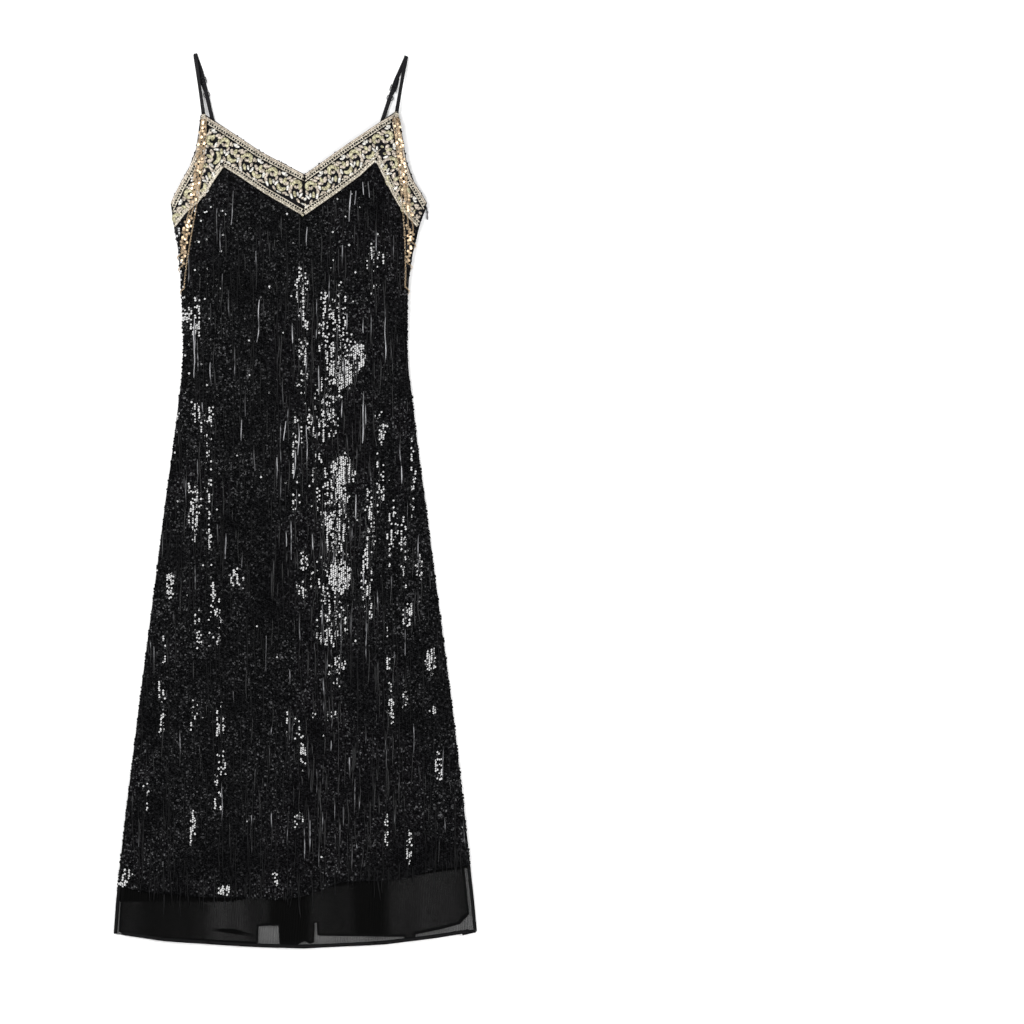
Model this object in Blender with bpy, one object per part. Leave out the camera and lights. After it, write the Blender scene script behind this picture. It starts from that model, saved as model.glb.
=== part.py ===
"""A long slip dress with thin straps, laid flat on its back with the front up.

Lengths are in millimetres until a mesh is made. In the tables x runs across the dress and height runs
up it from the lowest point of the hem. The finished dress is centred on the origin and lies on z = 0.
"""

import math
from collections import namedtuple

import bmesh
import bpy
from mathutils import Vector

for old in list(bpy.data.objects):
    bpy.data.objects.remove(old, do_unlink=True)

MM = 0.001

# Driving sizes of the dress
LENGTH = 1345.5  # hem to the top fold of the straps
SHELL = 1.6  # sequinned cloth, with its beads
CHIFFON = 1.0  # underskirt and slip
LINING = 1.0  # satin behind the front bodice
GAP = 0.35  # air between pieces that touch
LIFT = 3.0  # how far the chains under the bodice hold it off the floor
BINDING = 6.0  # bound edge along the top of the back
CENTRE = 5.5  # x of the middle of the bodice, a little off the middle of the hem

BLACK_SEQUIN = ((0.012, 0.012, 0.014), 0.3, 0.0)
BLACK_CHIFFON = ((0.02, 0.02, 0.022), 0.8, 0.0)
BLACK_SATIN = ((0.03, 0.03, 0.034), 0.45, 0.0)
GOLD_THREAD = ((0.55, 0.46, 0.28), 0.45, 0.3)
GOLD_METAL = ((0.85, 0.62, 0.36), 0.25, 1.0)
BLACK_METAL = ((0.02, 0.02, 0.02), 0.3, 0.6)
STEEL = ((0.6, 0.6, 0.6), 0.3, 1.0)


# Curves through short tables
def smooth(value, low, high):
    """0 below low, 1 above high, and an even turn between them."""
    share = min(1.0, max(0.0, (value - low) / (high - low)))
    return share * share * (3 - 2 * share)


def between(a, b, share):
    return a + (b - a) * share


def read(rows, name, at):
    """The named column of a table, joined by straight lines and read at a value of the first column."""
    rows = sorted(rows)
    if at <= rows[0][0]:
        return getattr(rows[0], name)
    for low, high in zip(rows, rows[1:]):
        if at <= high[0]:
            share = (at - low[0]) / (high[0] - low[0])
            return between(getattr(low, name), getattr(high, name), share)
    return getattr(rows[-1], name)


Side = namedtuple("Side", "height left right")
SIDES = (
    Side(1117, -186.7, 197.6),
    Side(1083, -182.0, 184.5),
    Side(1047, -175.5, 177.0),
    Side(1010, -172.3, 171.0),
    Side(972, -170.0, 168.4),
    Side(897, -168.0, 167.5),
    Side(860, -170.0, 170.5),
    Side(822, -174.5, 175.5),
    Side(747, -184.0, 184.0),
    Side(672, -194.4, 194.4),
    Side(522, -213.5, 214.0),
    Side(372, -233.2, 234.0),
    Side(222, -251.6, 251.6),
    Side(72, -268.8, 268.0),
    Side(22, -272.6, 272.6),
)

Edge = namedtuple("Edge", "x height")
TOP_EDGE = (
    Edge(-186.7, 1117),
    Edge(-175.1, 1141),
    Edge(-160.1, 1167),
    Edge(-149.6, 1191),
    Edge(-144.5, 1219),
    Edge(-141.4, 1248.5),
    Edge(-133.1, 1248.5),
    Edge(-104.9, 1229.6),
    Edge(-52.1, 1194.3),
    Edge(13.9, 1160),
    Edge(70.0, 1200.0),
    Edge(124.9, 1236.9),
    Edge(147.4, 1252),
    Edge(154.9, 1252),
    Edge(160.0, 1215),
    Edge(166.9, 1179),
    Edge(174.4, 1155),
    Edge(189.4, 1131),
    Edge(197.6, 1117),
)

BACK_TOP = (
    Edge(-186.7, 1117),
    Edge(-150, 1128),
    Edge(-100, 1138.5),
    Edge(-60, 1137),
    Edge(5, 1135),
    Edge(70, 1137),
    Edge(110, 1138.5),
    Edge(160, 1127),
    Edge(197.6, 1117),
)

SEQUIN_HEM = (
    Edge(-270, 97),
    Edge(-237, 87),
    Edge(-150, 78),
    Edge(-55, 75),
    Edge(-5, 74),
    Edge(35, 86),
    Edge(68, 100),
    Edge(170, 104),
    Edge(200, 117),
    Edge(270, 126),
)

CHIFFON_HEM = (
    Edge(-272.6, 22),
    Edge(-199, 11),
    Edge(-127, 6),
    Edge(-55, 1.5),
    Edge(17, 0),
    Edge(125, 5),
    Edge(197, 13.5),
    Edge(272.6, 25),
)

Slip = namedtuple("Slip", "x above_hem")
SLIP_HEM = (
    Slip(-272, 11),
    Slip(-80, 12),
    Slip(-58, 30),
    Slip(-26, 30),
    Slip(-5, 24),
    Slip(34, 18),
    Slip(115, 11),
    Slip(157, 8),
    Slip(180, 12),
    Slip(201, 14),
    Slip(250, 20),
    Slip(272, 22),
)

# Soft folds of the front: where each starts and ends, its half width and its height at the hem
Fold = namedtuple("Fold", "top_x top_height hem_x half_width rise")
FOLDS = (
    Fold(top_x=-125, top_height=940, hem_x=-176, half_width=24, rise=2.6),
    Fold(top_x=-62, top_height=760, hem_x=-95, half_width=26, rise=2.2),
    Fold(top_x=8, top_height=1010, hem_x=4, half_width=22, rise=4.2),
    Fold(top_x=74, top_height=930, hem_x=146, half_width=24, rise=4.0),
    Fold(top_x=135, top_height=700, hem_x=214, half_width=22, rise=2.4),
)

# Columns across the dress, as shares of its width. They pass through the strap points and the V.
COLUMNS = (
    0, 0.018, 0.045, 0.075, 0.1, 0.118, 0.1395, 0.18, 0.235, 0.295, 0.352, 0.41, 0.468, 0.522,
    0.575, 0.63, 0.69, 0.75, 0.81, 0.8694, 0.8889, 0.92, 0.95, 0.982, 1,
)  # fmt: skip
ROWS = (1260, 1117, 1083, 1047, 1010, 972, 897, 860, 822, 747, 672, 622, 572, 522, 472, 422, 372,
        322, 272, 222, 190, 150, 120, 95, 70, 35, -5)  # fmt: skip
CORNER = SIDES[0].height
BACK_HEM = 70  # the sequinned back ends here
CLEAR_OF_BACK = 35  # below this the chiffon has come down to the floor


def place_x(share, height):
    """x of a column at a height: straight up above the underarm, spread with the sides below it."""
    at = min(height, CORNER)
    return between(read(SIDES, "left", at), read(SIDES, "right", at), share)


def share_of(x, height):
    at = min(height, CORNER)
    left, right = read(SIDES, "left", at), read(SIDES, "right", at)
    return (x - left) / (right - left)


# Heights off the floor, worked out at the crossings of the columns and rows
def lift(share, height):
    x = place_x(share, height)
    return LIFT * smooth(height, 900, 985) * smooth(abs(x - CENTRE), 28, 82)


def folds(share, height):
    x = place_x(share, height)
    total = 0.0
    for fold in FOLDS:
        down = (fold.top_height - height) / fold.top_height
        if down > 0:
            middle = between(fold.top_x, fold.hem_x, down)
            grown = fold.rise * smooth(down, 0, 0.8)
            total += grown * math.exp(-(((x - middle) / fold.half_width) ** 2))
    return total * (1 if 0 < share < 1 else 0)


def over_back(height):
    """Height of the first layer over the back: on the sequinned back, then down to the floor."""
    return (SHELL + GAP) * min(1.0, max(0.0, (height - CLEAR_OF_BACK) / (BACK_HEM - CLEAR_OF_BACK)))


def back_shell_z(share, height):
    return lift(share, height)


def lining_z(share, height):
    return lift(share, height) + SHELL + GAP + 0.1


def underskirt_back_z(share, height):
    return over_back(height)


def slip_back_z(share, height):
    return over_back(height) + CHIFFON + GAP


def slip_front_z(share, height):
    return over_back(height) + 2 * (CHIFFON + GAP) + folds(share, height) / 2


def underskirt_front_z(share, height):
    layers = 3 if 0 < share < 1 else 1
    return over_back(height) + layers * (CHIFFON + GAP) + folds(share, height)


def front_shell_z(share, height):
    """Underside of the front: on the lining, then low in the skirt, then over the chiffon at the hem."""
    on_chiffon = underskirt_front_z(share, height) + CHIFFON + GAP
    bodice = lift(share, height) + SHELL + GAP + folds(share, height)
    if 0 < share < 1:
        bodice += between(0.7, LINING + GAP + 0.15, smooth(height, 800, 1040))
    return between(on_chiffon, bodice, smooth(height, 150, 330))


def on_lattice(field):
    """The field read along straight lines between the crossings: every layer has the same facets."""
    known = {}

    def corner(column, row):
        if (column, row) not in known:
            known[column, row] = field(COLUMNS[column], ROWS[row])
        return known[column, row]

    def value(share, height):
        share = min(1.0, max(0.0, share))
        column = max(i for i in range(len(COLUMNS) - 1) if COLUMNS[i] <= share)
        row = max([i for i in range(len(ROWS) - 1) if ROWS[i] >= height] or [0])
        across = (share - COLUMNS[column]) / (COLUMNS[column + 1] - COLUMNS[column])
        down = (ROWS[row] - height) / (ROWS[row] - ROWS[row + 1])
        down = min(1.0, max(0.0, down))
        a, b = corner(column, row), corner(column + 1, row)
        d, e = corner(column, row + 1), corner(column + 1, row + 1)
        if down > across:
            return a + down * (d - a) + across * (e - d)
        return a + across * (b - a) + down * (e - b)

    return value


back_shell_floor = on_lattice(back_shell_z)
lining_floor = on_lattice(lining_z)
underskirt_back_floor = on_lattice(underskirt_back_z)
slip_back_floor = on_lattice(slip_back_z)
slip_front_floor = on_lattice(slip_front_z)
underskirt_front_floor = on_lattice(underskirt_front_z)
front_shell_floor = on_lattice(front_shell_z)


def front_top(x, height):
    """Top of the sequinned front at a point."""
    return front_shell_floor(share_of(x, height), height) + SHELL


def underskirt_top(x, height):
    return underskirt_front_floor(share_of(x, height), height) + CHIFFON


# Meshes
def finish(name, points, faces, finish_of):
    """An object from points in millimetres, with x across, height up the dress and z off the floor."""
    mesh = bpy.data.meshes.new(name)
    mesh.from_pydata([(x * MM, (h - LENGTH / 2) * MM, z * MM) for x, h, z in points], [], faces)
    whole = bmesh.new()
    whole.from_mesh(mesh)
    bmesh.ops.recalc_face_normals(whole, faces=whole.faces)
    whole.to_mesh(mesh)
    whole.free()
    obj = bpy.data.objects.new(name, mesh)
    bpy.context.scene.collection.objects.link(obj)
    colour, roughness, metallic = finish_of
    material = bpy.data.materials.new(name)
    material.use_nodes = True
    shader = material.node_tree.nodes["Principled BSDF"]
    shader.inputs["Base Color"].default_value = (*colour, 1)
    shader.inputs["Roughness"].default_value = roughness
    shader.inputs["Metallic"].default_value = metallic
    mesh.materials.append(material)
    return obj


def wall(name, upper, lower, finish_of):
    """A closed wall between two grids of points that match: upper is its top and lower its underside."""
    across, along = len(upper[0]), len(upper)
    points = [p for row in upper for p in row] + [p for row in lower for p in row]
    under = across * along
    faces = []
    for r in range(along - 1):
        for c in range(across - 1):
            a, b = r * across + c, r * across + c + 1
            d, e = a + across, b + across
            faces += [(a, d, e), (a, e, b)]
            faces += [(under + a, under + e, under + d), (under + a, under + b, under + e)]
    rim = [c for c in range(across)]
    rim += [r * across + across - 1 for r in range(1, along)]
    rim += [(along - 1) * across + c for c in range(across - 2, -1, -1)]
    rim += [r * across for r in range(along - 2, 0, -1)]
    for a, b in zip(rim, rim[1:] + rim[:1]):
        faces += [(a, b, under + b), (a, under + b, under + a)]
    return finish(name, points, faces, finish_of)


def panel(name, columns, heights_of, floor_of, thickness, finish_of):
    """A panel of cloth: a column of points at each share of the width, from its top edge to its hem."""
    stacks = [[(place_x(u, h), h, floor_of(u, h)) for h in heights_of(u)] for u in columns]
    lower = [list(row) for row in zip(*stacks)]
    upper = [[(x, h, z + thickness) for x, h, z in row] for row in lower]
    return wall(name, upper, lower, finish_of)


def steps(start, end, count):
    """Heights after start, up to and including end."""
    return [between(start, end, i / count) for i in range(1, count + 1)]


def front_heights(share):
    top = read(TOP_EDGE, "height", place_x(share, CORNER))
    hem = read(SEQUIN_HEM, "height", place_x(share, 95))
    first, last = 1083, 150
    inner = [h for h in ROWS if last <= h < first]
    return [top] + steps(top, first, 4) + inner + steps(last, hem, 2)


def back_heights(share):
    top = read(BACK_TOP, "height", place_x(share, CORNER))
    first = 1083
    inner = [h for h in ROWS if 860 <= h < first] + [822, 747, 672, 522, 372, 222, 120, BACK_HEM]
    return [top - BINDING - GAP, first] + inner


def binding_heights(share):
    top = read(BACK_TOP, "height", place_x(share, CORNER))
    return [top, top - BINDING]


def lining_heights(share):
    top = read(TOP_EDGE, "height", place_x(share, CORNER)) - 0.6
    return [top] + steps(top, 1100, 4)


def hem_line(share):
    return read(CHIFFON_HEM, "height", place_x(share, 22))


def underskirt_heights(share):
    return [150, 95, BACK_HEM, CLEAR_OF_BACK, hem_line(share)]


def slip_heights(share):
    hem = hem_line(share) + read(SLIP_HEM, "above_hem", place_x(share, 22))
    return [150, 95, BACK_HEM, max(CLEAR_OF_BACK, hem + 3), hem]


# The strap points, where both straps and the chains start
# A back leg hangs straight down to its knee, and turns there towards the foot of its tab
Strap = namedtuple("Strap", "side root top_fold knee tab_root slider ring")
STRAPS = (
    Strap("left", (-137.0, 1248.5), (-150.0, 1341.0), (-125.5, 1246.8), (-98.0, 1138.5), slider=36, ring=63),
    Strap("right", (151.2, 1252.0), (165.7, 1337.5), (130.5, 1241.1), (108.0, 1138.5), slider=46, ring=66),
)
STRAP_WIDTH = 6.0
STRAP_THICK = 0.7
SLIDER_WIDTH, BAR, SLOT = 9.4, 1.2, 3.0
SLIDER_LOW, SLIDER_THICK = 2.15, 1.0
RING_RADIUS, RING_WIRE, RING_Z = 4.6, 0.6, 1.8
TURN = 1.3  # half the height of a strap's turn round a ring


def ribbon(name, route, finish_of, width=STRAP_WIDTH, thick=STRAP_THICK):
    """A flat strap along a route of (point, sideways direction), with mitred corners."""
    points, faces = [], []
    centres = [Vector(p) for p, _ in route]
    for i, (centre, (_, side)) in enumerate(zip(centres, route)):
        side = Vector(side).normalized()
        before = (centre - centres[i - 1]).normalized() if i else None
        after = (centres[i + 1] - centre).normalized() if i + 1 < len(centres) else None
        along = ((before or after) + (after or before)).normalized()
        up = side.cross(along).normalized()
        stretch = 1 / max(0.5, along.dot(after or before))
        half = up * (thick / 2 * stretch)
        points += [tuple(centre + s * side * width / 2 + t * half)
                   for s, t in ((-1, -1), (1, -1), (1, 1), (-1, 1))]  # fmt: skip
    for i in range(len(route) - 1):
        for k in range(4):
            a, b = 4 * i + k, 4 * i + (k + 1) % 4
            faces += [(a, b, b + 4), (a, b + 4, a + 4)]
    last = 4 * (len(route) - 1)
    faces += [(0, 2, 1), (0, 3, 2), (last, last + 1, last + 2), (last, last + 2, last + 3)]
    return finish(name, points, faces, finish_of)


def strap_direction(strap):
    """Unit vector down the back leg of a strap, and the unit vector across it."""
    start, end = Vector(strap.top_fold), Vector(strap.knee)
    start.x += 3.0 if strap.side == "left" else -3.0
    down = (end - start).normalized()
    return start, down, Vector((-down.y, down.x))


def turn(s, z, radius, start, end, count=6):
    """Points (s, z) of a turn about (s, z), from one angle to another in degrees."""
    angles = [math.radians(between(start, end, i / count)) for i in range(count + 1)]
    return [(s + radius * math.cos(a), z + radius * math.sin(a)) for a in angles]


def make_strap(strap):
    """One strap: front leg, top fold, through the slider, round the ring and back to the slider."""
    start, down, across = strap_direction(strap)
    root, fold = Vector(strap.root), Vector(strap.top_fold)
    leg = (fold - root).normalized()
    leg_across = Vector((leg.y, -leg.x))
    root_z = front_top(*strap.root) - SHELL / 2
    low, over_bar = 1.45, SLIDER_LOW + SLIDER_THICK + GAP + STRAP_THICK / 2
    fold_radius = 1.35
    fold_low = 0.5
    route = []
    for share in (0, 0.12, 0.3, 0.5, 0.7, 0.85, 1):
        spot = root.lerp(fold, share) + leg * (0.8 * (1 - share))
        z = between(root_z, fold_low + 2 * fold_radius, smooth(share, 0.35, 1))
        route.append(((spot.x, spot.y, z), (leg_across.x, leg_across.y, 0)))
    for s, z in turn(0, fold_low + fold_radius, fold_radius, 60, -90, 5):
        share = 1 - (z - fold_low) / (2 * fold_radius)
        spot = fold.lerp(start, share) + leg * s
        side = leg_across.lerp(-across, share)
        route.append(((spot.x, spot.y, z), (side.x, side.y, 0)))
    first = strap.slider
    middle = first + BAR + SLOT + BAR / 2
    ring_bar = strap.ring - RING_RADIUS
    ring_turn = ring_bar + 1.6
    profile = [(8, fold_low), (first - 6, low), (first + BAR + 0.3, low)]
    profile += [(middle - 0.9, over_bar), (middle + 0.9, over_bar)]
    profile += [(first + 2 * BAR + 2 * SLOT - 0.3, low), (ring_bar - 3.4, low)]
    profile += [(ring_bar - 1.2, RING_Z + TURN)]
    profile += turn(ring_turn, RING_Z, TURN, 90, -90)
    profile += [(ring_bar - 3.4, 0.45), (middle + 1.8, 0.45), (middle + 0.5, low)]
    profile += [(middle - 0.5, low)]
    for s, z in profile:
        spot = start + down * s
        route.append(((spot.x, spot.y, z), (-across.x, -across.y, 0)))
    ribbon(f"strap_{strap.side}", route, BLACK_SATIN)


def make_tab(strap):
    """The short doubled strap from the ring down to the top edge of the back."""
    start, down, across = strap_direction(strap)
    knee, foot = Vector(strap.knee), Vector(strap.tab_root)
    on = (foot - knee).normalized()
    lower_turn = strap.ring + RING_RADIUS - 1.6
    bend = (knee - start).length
    edge = back_shell_floor(share_of(*strap.tab_root), strap.tab_root[1])
    stop = bend + (foot - knee).length - GAP - 1.2
    share = (bend - lower_turn - 14) / (stop - 22 - lower_turn - 14)
    profile = [(stop, edge + SHELL - 0.35), (stop - 22, edge + SHELL - 0.4)]
    profile += [(bend, between(2.2, edge + SHELL - 0.4, share))]
    profile += [(lower_turn + 14, 2.2), (lower_turn + 3, RING_Z + TURN)]
    profile += turn(lower_turn, RING_Z, TURN, 90, 270)
    profile += [(lower_turn + 3, 0.5), (lower_turn + 14, 0.9)]
    profile += [(bend, between(0.9, edge + SHELL - 1.45, share))]
    profile += [(stop - 22, edge + SHELL - 1.45), (stop, edge + SHELL - 1.4)]
    route = []
    for s, z in profile:
        past = max(0.0, s - bend)
        spot = start + down * (s - past) + on * past
        side = across.lerp(Vector((-on.y, on.x)), smooth(s, bend - 2, bend + 2))
        route.append(((spot.x, spot.y, z), (side.x, side.y, 0)))
    ribbon(f"strap_tab_{strap.side}", route, BLACK_SATIN)


def make_slider(strap):
    """The flat figure-of-eight slider that sets the length of a strap."""
    start, down, across = strap_direction(strap)
    half, cheek = SLIDER_WIDTH / 2, 1.25
    cuts_across = (-half, -half + cheek, half - cheek, half)
    cuts_down = (0, BAR, BAR + SLOT, 2 * BAR + SLOT, 2 * BAR + 2 * SLOT, 3 * BAR + 2 * SLOT)
    holes = {(1, 1), (1, 3)}
    points, faces = [], []
    for z in (SLIDER_LOW, SLIDER_LOW + SLIDER_THICK):
        for t in cuts_down:
            for s in cuts_across:
                spot = start + down * (strap.slider + t) + across * s
                points.append((spot.x, spot.y, z))
    under = len(cuts_across) * len(cuts_down)
    cells = {(i, j) for i in range(3) for j in range(5)} - holes
    for i, j in sorted(cells):
        a = j * 4 + i
        b, c, d = a + 1, a + 5, a + 4
        faces += [(a, b, c), (a, c, d)]
        faces += [(under + a, under + c, under + b), (under + a, under + d, under + c)]
        sides = (((i, j - 1), a, b), ((i + 1, j), b, c), ((i, j + 1), c, d), ((i - 1, j), d, a))
        for neighbour, p, q in sides:
            if neighbour not in cells:
                faces += [(p, q, under + q), (p, under + q, under + p)]
    finish(f"slider_{strap.side}", points, faces, BLACK_METAL)


def ring_mesh(name, centre, radii, wire, finish_of, around=20, sides=6, along=(0, 1)):
    """A ring of round wire lying flat, with its own radius along and across the given direction."""
    points, faces = [], []
    along = Vector(along).normalized()
    across = Vector((along.y, -along.x))
    for i in range(around):
        a = math.tau * i / around
        for k in range(sides):
            b = math.tau * k / sides
            s = (radii[0] + wire * math.cos(b)) * math.cos(a)
            t = (radii[1] + wire * math.cos(b)) * math.sin(a)
            spot = Vector(centre[:2]) + along * s + across * t
            points.append((spot.x, spot.y, centre[2] + wire * math.sin(b)))
    for i in range(around):
        for k in range(sides):
            a, b = i * sides + k, i * sides + (k + 1) % sides
            c, d = ((i + 1) % around) * sides + (k + 1) % sides, ((i + 1) % around) * sides + k
            faces += [(a, b, c), (a, c, d)]
    return finish(name, points, faces, finish_of)


def make_ring(strap):
    start, down, _ = strap_direction(strap)
    middle = start + down * strap.ring
    radii = (RING_RADIUS, RING_RADIUS)
    ring_mesh(f"ring_{strap.side}", (middle.x, middle.y, RING_Z), radii, RING_WIRE, BLACK_METAL)


# The gold band: a woven ribbon cut in four, mitred at the V and at both strap points
TRIM = 1.0
TRIM_CORD = 0.5  # how far its two borders stand up
TRIM_INSET = 0.4
TRIM_GAP = 0.9
BORDER = 0.13  # share of the ribbon's width in each border
TRIM_SECTION = ((0, TRIM_CORD), (BORDER, TRIM_CORD), (BORDER + 0.05, 0), (0.95 - BORDER, 0),
                (1 - BORDER, TRIM_CORD), (1, TRIM_CORD))  # fmt: skip

Strip = namedtuple("Strip", "name outer inner")
STRIPS = (
    Strip(
        "trim_neck_left",
        outer=((-136.6, 1248.1), (-104.9, 1229.2), (-52.1, 1193.9), (13.6, 1159.5)),
        inner=((-106.2, 1170.0), (-82.0, 1155.0), (-47.0, 1131.5), (12.1, 1097.0)),
    ),
    Strip(
        "trim_neck_right",
        outer=((14.2, 1159.5), (70.0, 1199.5), (124.9, 1236.4), (150.4, 1251.6)),
        inner=((12.7, 1097.0), (62.0, 1131.0), (98.0, 1157.5), (120.2, 1178.5)),
    ),
    Strip(
        "trim_armhole_left",
        outer=((-137.3, 1248.1), (-144.0, 1219), (-149.1, 1191), (-159.6, 1167), (-174.6, 1141), (-186.2, 1117)),
        inner=((-106.9, 1170), (-119.5, 1152), (-131.0, 1134), (-146.0, 1115.5), (-163.0, 1101.5), (-180.5, 1079)),
    ),
    Strip(
        "trim_armhole_right",
        outer=((151.1, 1251.6), (159.5, 1215), (166.4, 1179), (173.9, 1155), (188.9, 1131), (197.1, 1117)),
        inner=((120.9, 1178.5), (134.0, 1152), (145.0, 1130), (154.0, 1114), (166.0, 1098), (183.6, 1079)),
    ),
)


def along_line(line, share):
    """A point at a share of the way along a line of points, counted in points."""
    spot = share * (len(line) - 1)
    i = min(len(line) - 2, int(spot))
    return Vector(line[i]).lerp(Vector(line[i + 1]), spot - i)


def trim_top(x, height):
    return front_top(x, height) + TRIM_GAP + TRIM + TRIM_CORD


def make_trim(strip):
    count = 2 * (len(strip.outer) - 1)
    upper, lower = [], []
    for i in range(count + 1):
        outer, inner = along_line(strip.outer, i / count), along_line(strip.inner, i / count)
        top_row, low_row = [], []
        for share, rise in TRIM_SECTION:
            spot = outer.lerp(inner, share)
            z = front_top(spot.x, spot.y) + TRIM_GAP
            low_row.append((spot.x, spot.y, z))
            top_row.append((spot.x, spot.y, z + TRIM + rise))
        upper.append(top_row)
        lower.append(low_row)
    wall(strip.name, upper, lower, GOLD_THREAD)


# Chains: each strand leaves the strap point, crosses the front, turns round the side and
# comes up behind, under the back, to a link at the foot of the back strap
Strand = namedtuple("Strand", "name front edge back coins")
STRANDS = {
    "left": (
        Strand("chain_left_outer",
               ((-139.6, 1241), (-143.2, 1197), (-152, 1137), (-155.3, 1114), (-161, 1095), (-169, 1056)),
               1036, ((-150, 1016), (-128, 1050), (-107.5, 1100), (-101.6, 1139)), True),
        Strand("chain_left_inner",
               ((-136.2, 1241), (-139.2, 1197), (-147.8, 1137), (-151.3, 1114), (-156.5, 1093), (-166, 1043)),
               1018, ((-146, 997), (-123, 1030), (-103.5, 1090), (-98, 1139)), True),
        Strand("chain_left_long",
               ((-132.9, 1241), (-135, 1197), (-143.6, 1137), (-147.4, 1114), (-154.5, 1074), (-163.5, 1020)),
               984, ((-150, 966), (-122, 1000), (-99.6, 1080), (-94.6, 1139)), False),
    ),
    "right": (
        Strand("chain_right_outer",
               ((153.4, 1244), (159.5, 1197), (166.6, 1137), (171, 1114), (177, 1078)),
               1054, ((158, 1020), (136, 1054), (116.5, 1100), (111.6, 1139)), True),
        Strand("chain_right_inner",
               ((150.0, 1244), (156, 1197), (162.4, 1137), (166, 1114), (169.8, 1080), (171.5, 1050)),
               1022, ((154, 997), (131, 1030), (112.5, 1090), (108, 1139)), True),
        Strand("chain_right_long",
               ((146.7, 1244), (152.5, 1197), (158.4, 1137), (161.8, 1100), (164.5, 1060), (165.5, 1010)),
               986, ((156, 966), (130, 1000), (108.6, 1080), (104.6, 1139)), False),
    ),
}  # fmt: skip
CHAIN_WIRE = 0.6
COIN = 1.15  # how thick a strand is where its coins hang
LINK_HEIGHT = 1145.5


def spline(points, per_span):
    """A Catmull-Rom curve through the points."""
    ends = [points[0] * 2 - points[1], *points, points[-1] * 2 - points[-2]]
    found = []
    for a, b, c, d in zip(ends, ends[1:], ends[2:], ends[3:]):
        for k in range(per_span):
            t = k / per_span
            found.append(
                0.5 * (2 * b + (c - a) * t + (2 * a - 5 * b + 4 * c - d) * t * t
                       + (3 * b - a - 3 * c + d) * t**3)
            )  # fmt: skip
    return found + [points[-1]]


def even(points, step):
    """The line of points again, with points an even step apart."""
    lengths = [0.0]
    for a, b in zip(points, points[1:]):
        lengths.append(lengths[-1] + (b - a).length)
    count = max(2, round(lengths[-1] / step))
    found, at = [], 0
    for i in range(count + 1):
        target = lengths[-1] * i / count
        while at < len(points) - 2 and lengths[at + 1] < target:
            at += 1
        span = max(1e-9, lengths[at + 1] - lengths[at])
        found.append(points[at].lerp(points[at + 1], min(1.0, (target - lengths[at]) / span)))
    return found


def chain_route(strand, side):
    """Centres of a strand, and whether a coin may hang at each: none does where it turns round the side."""
    radius = COIN if strand.coins else CHAIN_WIRE
    step = 8.5 if strand.coins else 12.0
    out = -1 if side == "left" else 1

    def from_edge(inward, height, z):
        return Vector((read(SIDES, side, height) - inward * out, height, z))

    front = []
    for x, height in strand.front:
        on_trim = smooth(height, 1050, 1078)
        top = between(front_top(x, height) + GAP, trim_top(x, height), on_trim)
        front.append(Vector((x, height, top + GAP + radius)))
    edge = strand.edge
    over = front_shell_floor(0, edge) + SHELL
    under = back_shell_floor(0, edge)
    front.append(from_edge(4.5, edge + 5, over + 3 * GAP + radius + 0.5))
    corner = [
        from_edge(-0.3, edge + 1, over + 2 * GAP + radius),
        from_edge(-radius - 2 * GAP, edge, over - 0.2),
        from_edge(-radius - 2 * GAP, edge - 2, under + 0.3),
        from_edge(-0.3, edge - 4, radius + 0.25),
    ]
    back = [from_edge(5, edge - 8, radius + 0.05)]
    back += [Vector((x, height, radius + 0.05)) for x, height in strand.back]
    front, back = even(spline(front, 8), step), even(spline(back, 8), step)
    coins = [True] * (len(front) - 1) + [False] * (len(corner) + 2) + [True] * (len(back) - 1)
    return front + corner + back, coins


def make_strand(strand, side):
    """A strand of fine chain as a thin tube, swollen where its coins hang."""
    sides = 4
    line, coins = chain_route(strand, side)
    points, faces = [], []
    level = Vector((1, 0, 0))
    for i, centre in enumerate(line):
        along = (line[min(i + 1, len(line) - 1)] - line[max(i - 1, 0)]).normalized()
        level = (level - along * level.dot(along)).normalized()
        up = along.cross(level)
        radius = COIN if strand.coins and i % 2 and coins[i] else CHAIN_WIRE
        for k in range(sides):
            a = math.tau * (k + 0.5) / sides
            points.append(tuple(centre + radius * (math.cos(a) * level + math.sin(a) * up)))
    for i in range(len(line) - 1):
        for k in range(sides):
            a, b = i * sides + k, i * sides + (k + 1) % sides
            faces += [(a, b, b + sides), (a, b + sides, a + sides)]
    last = sides * (len(line) - 1)
    for k in range(1, sides - 1):
        faces += [(0, k + 1, k), (last, last + k, last + k + 1)]
    finish(strand.name, points, faces, GOLD_METAL)


# Fringe: thin glossy strands that hang from narrow tapes across the front
Row = namedtuple("Row", "name height strands length")
FRINGE_ROWS = (
    Row("fringe_bust", 1040, 12, 66),
    Row("fringe_waist", 880, 12, 84),
    Row("fringe_hip", 715, 12, 90),
    Row("fringe_thigh", 540, 13, 94),
    Row("fringe_calf", 350, 13, 92),
)
TAPE, TAPE_THICK = 2.6, 0.7
STRAND_WIDTH = 1.7
FRINGE_GAP = 0.6


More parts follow.
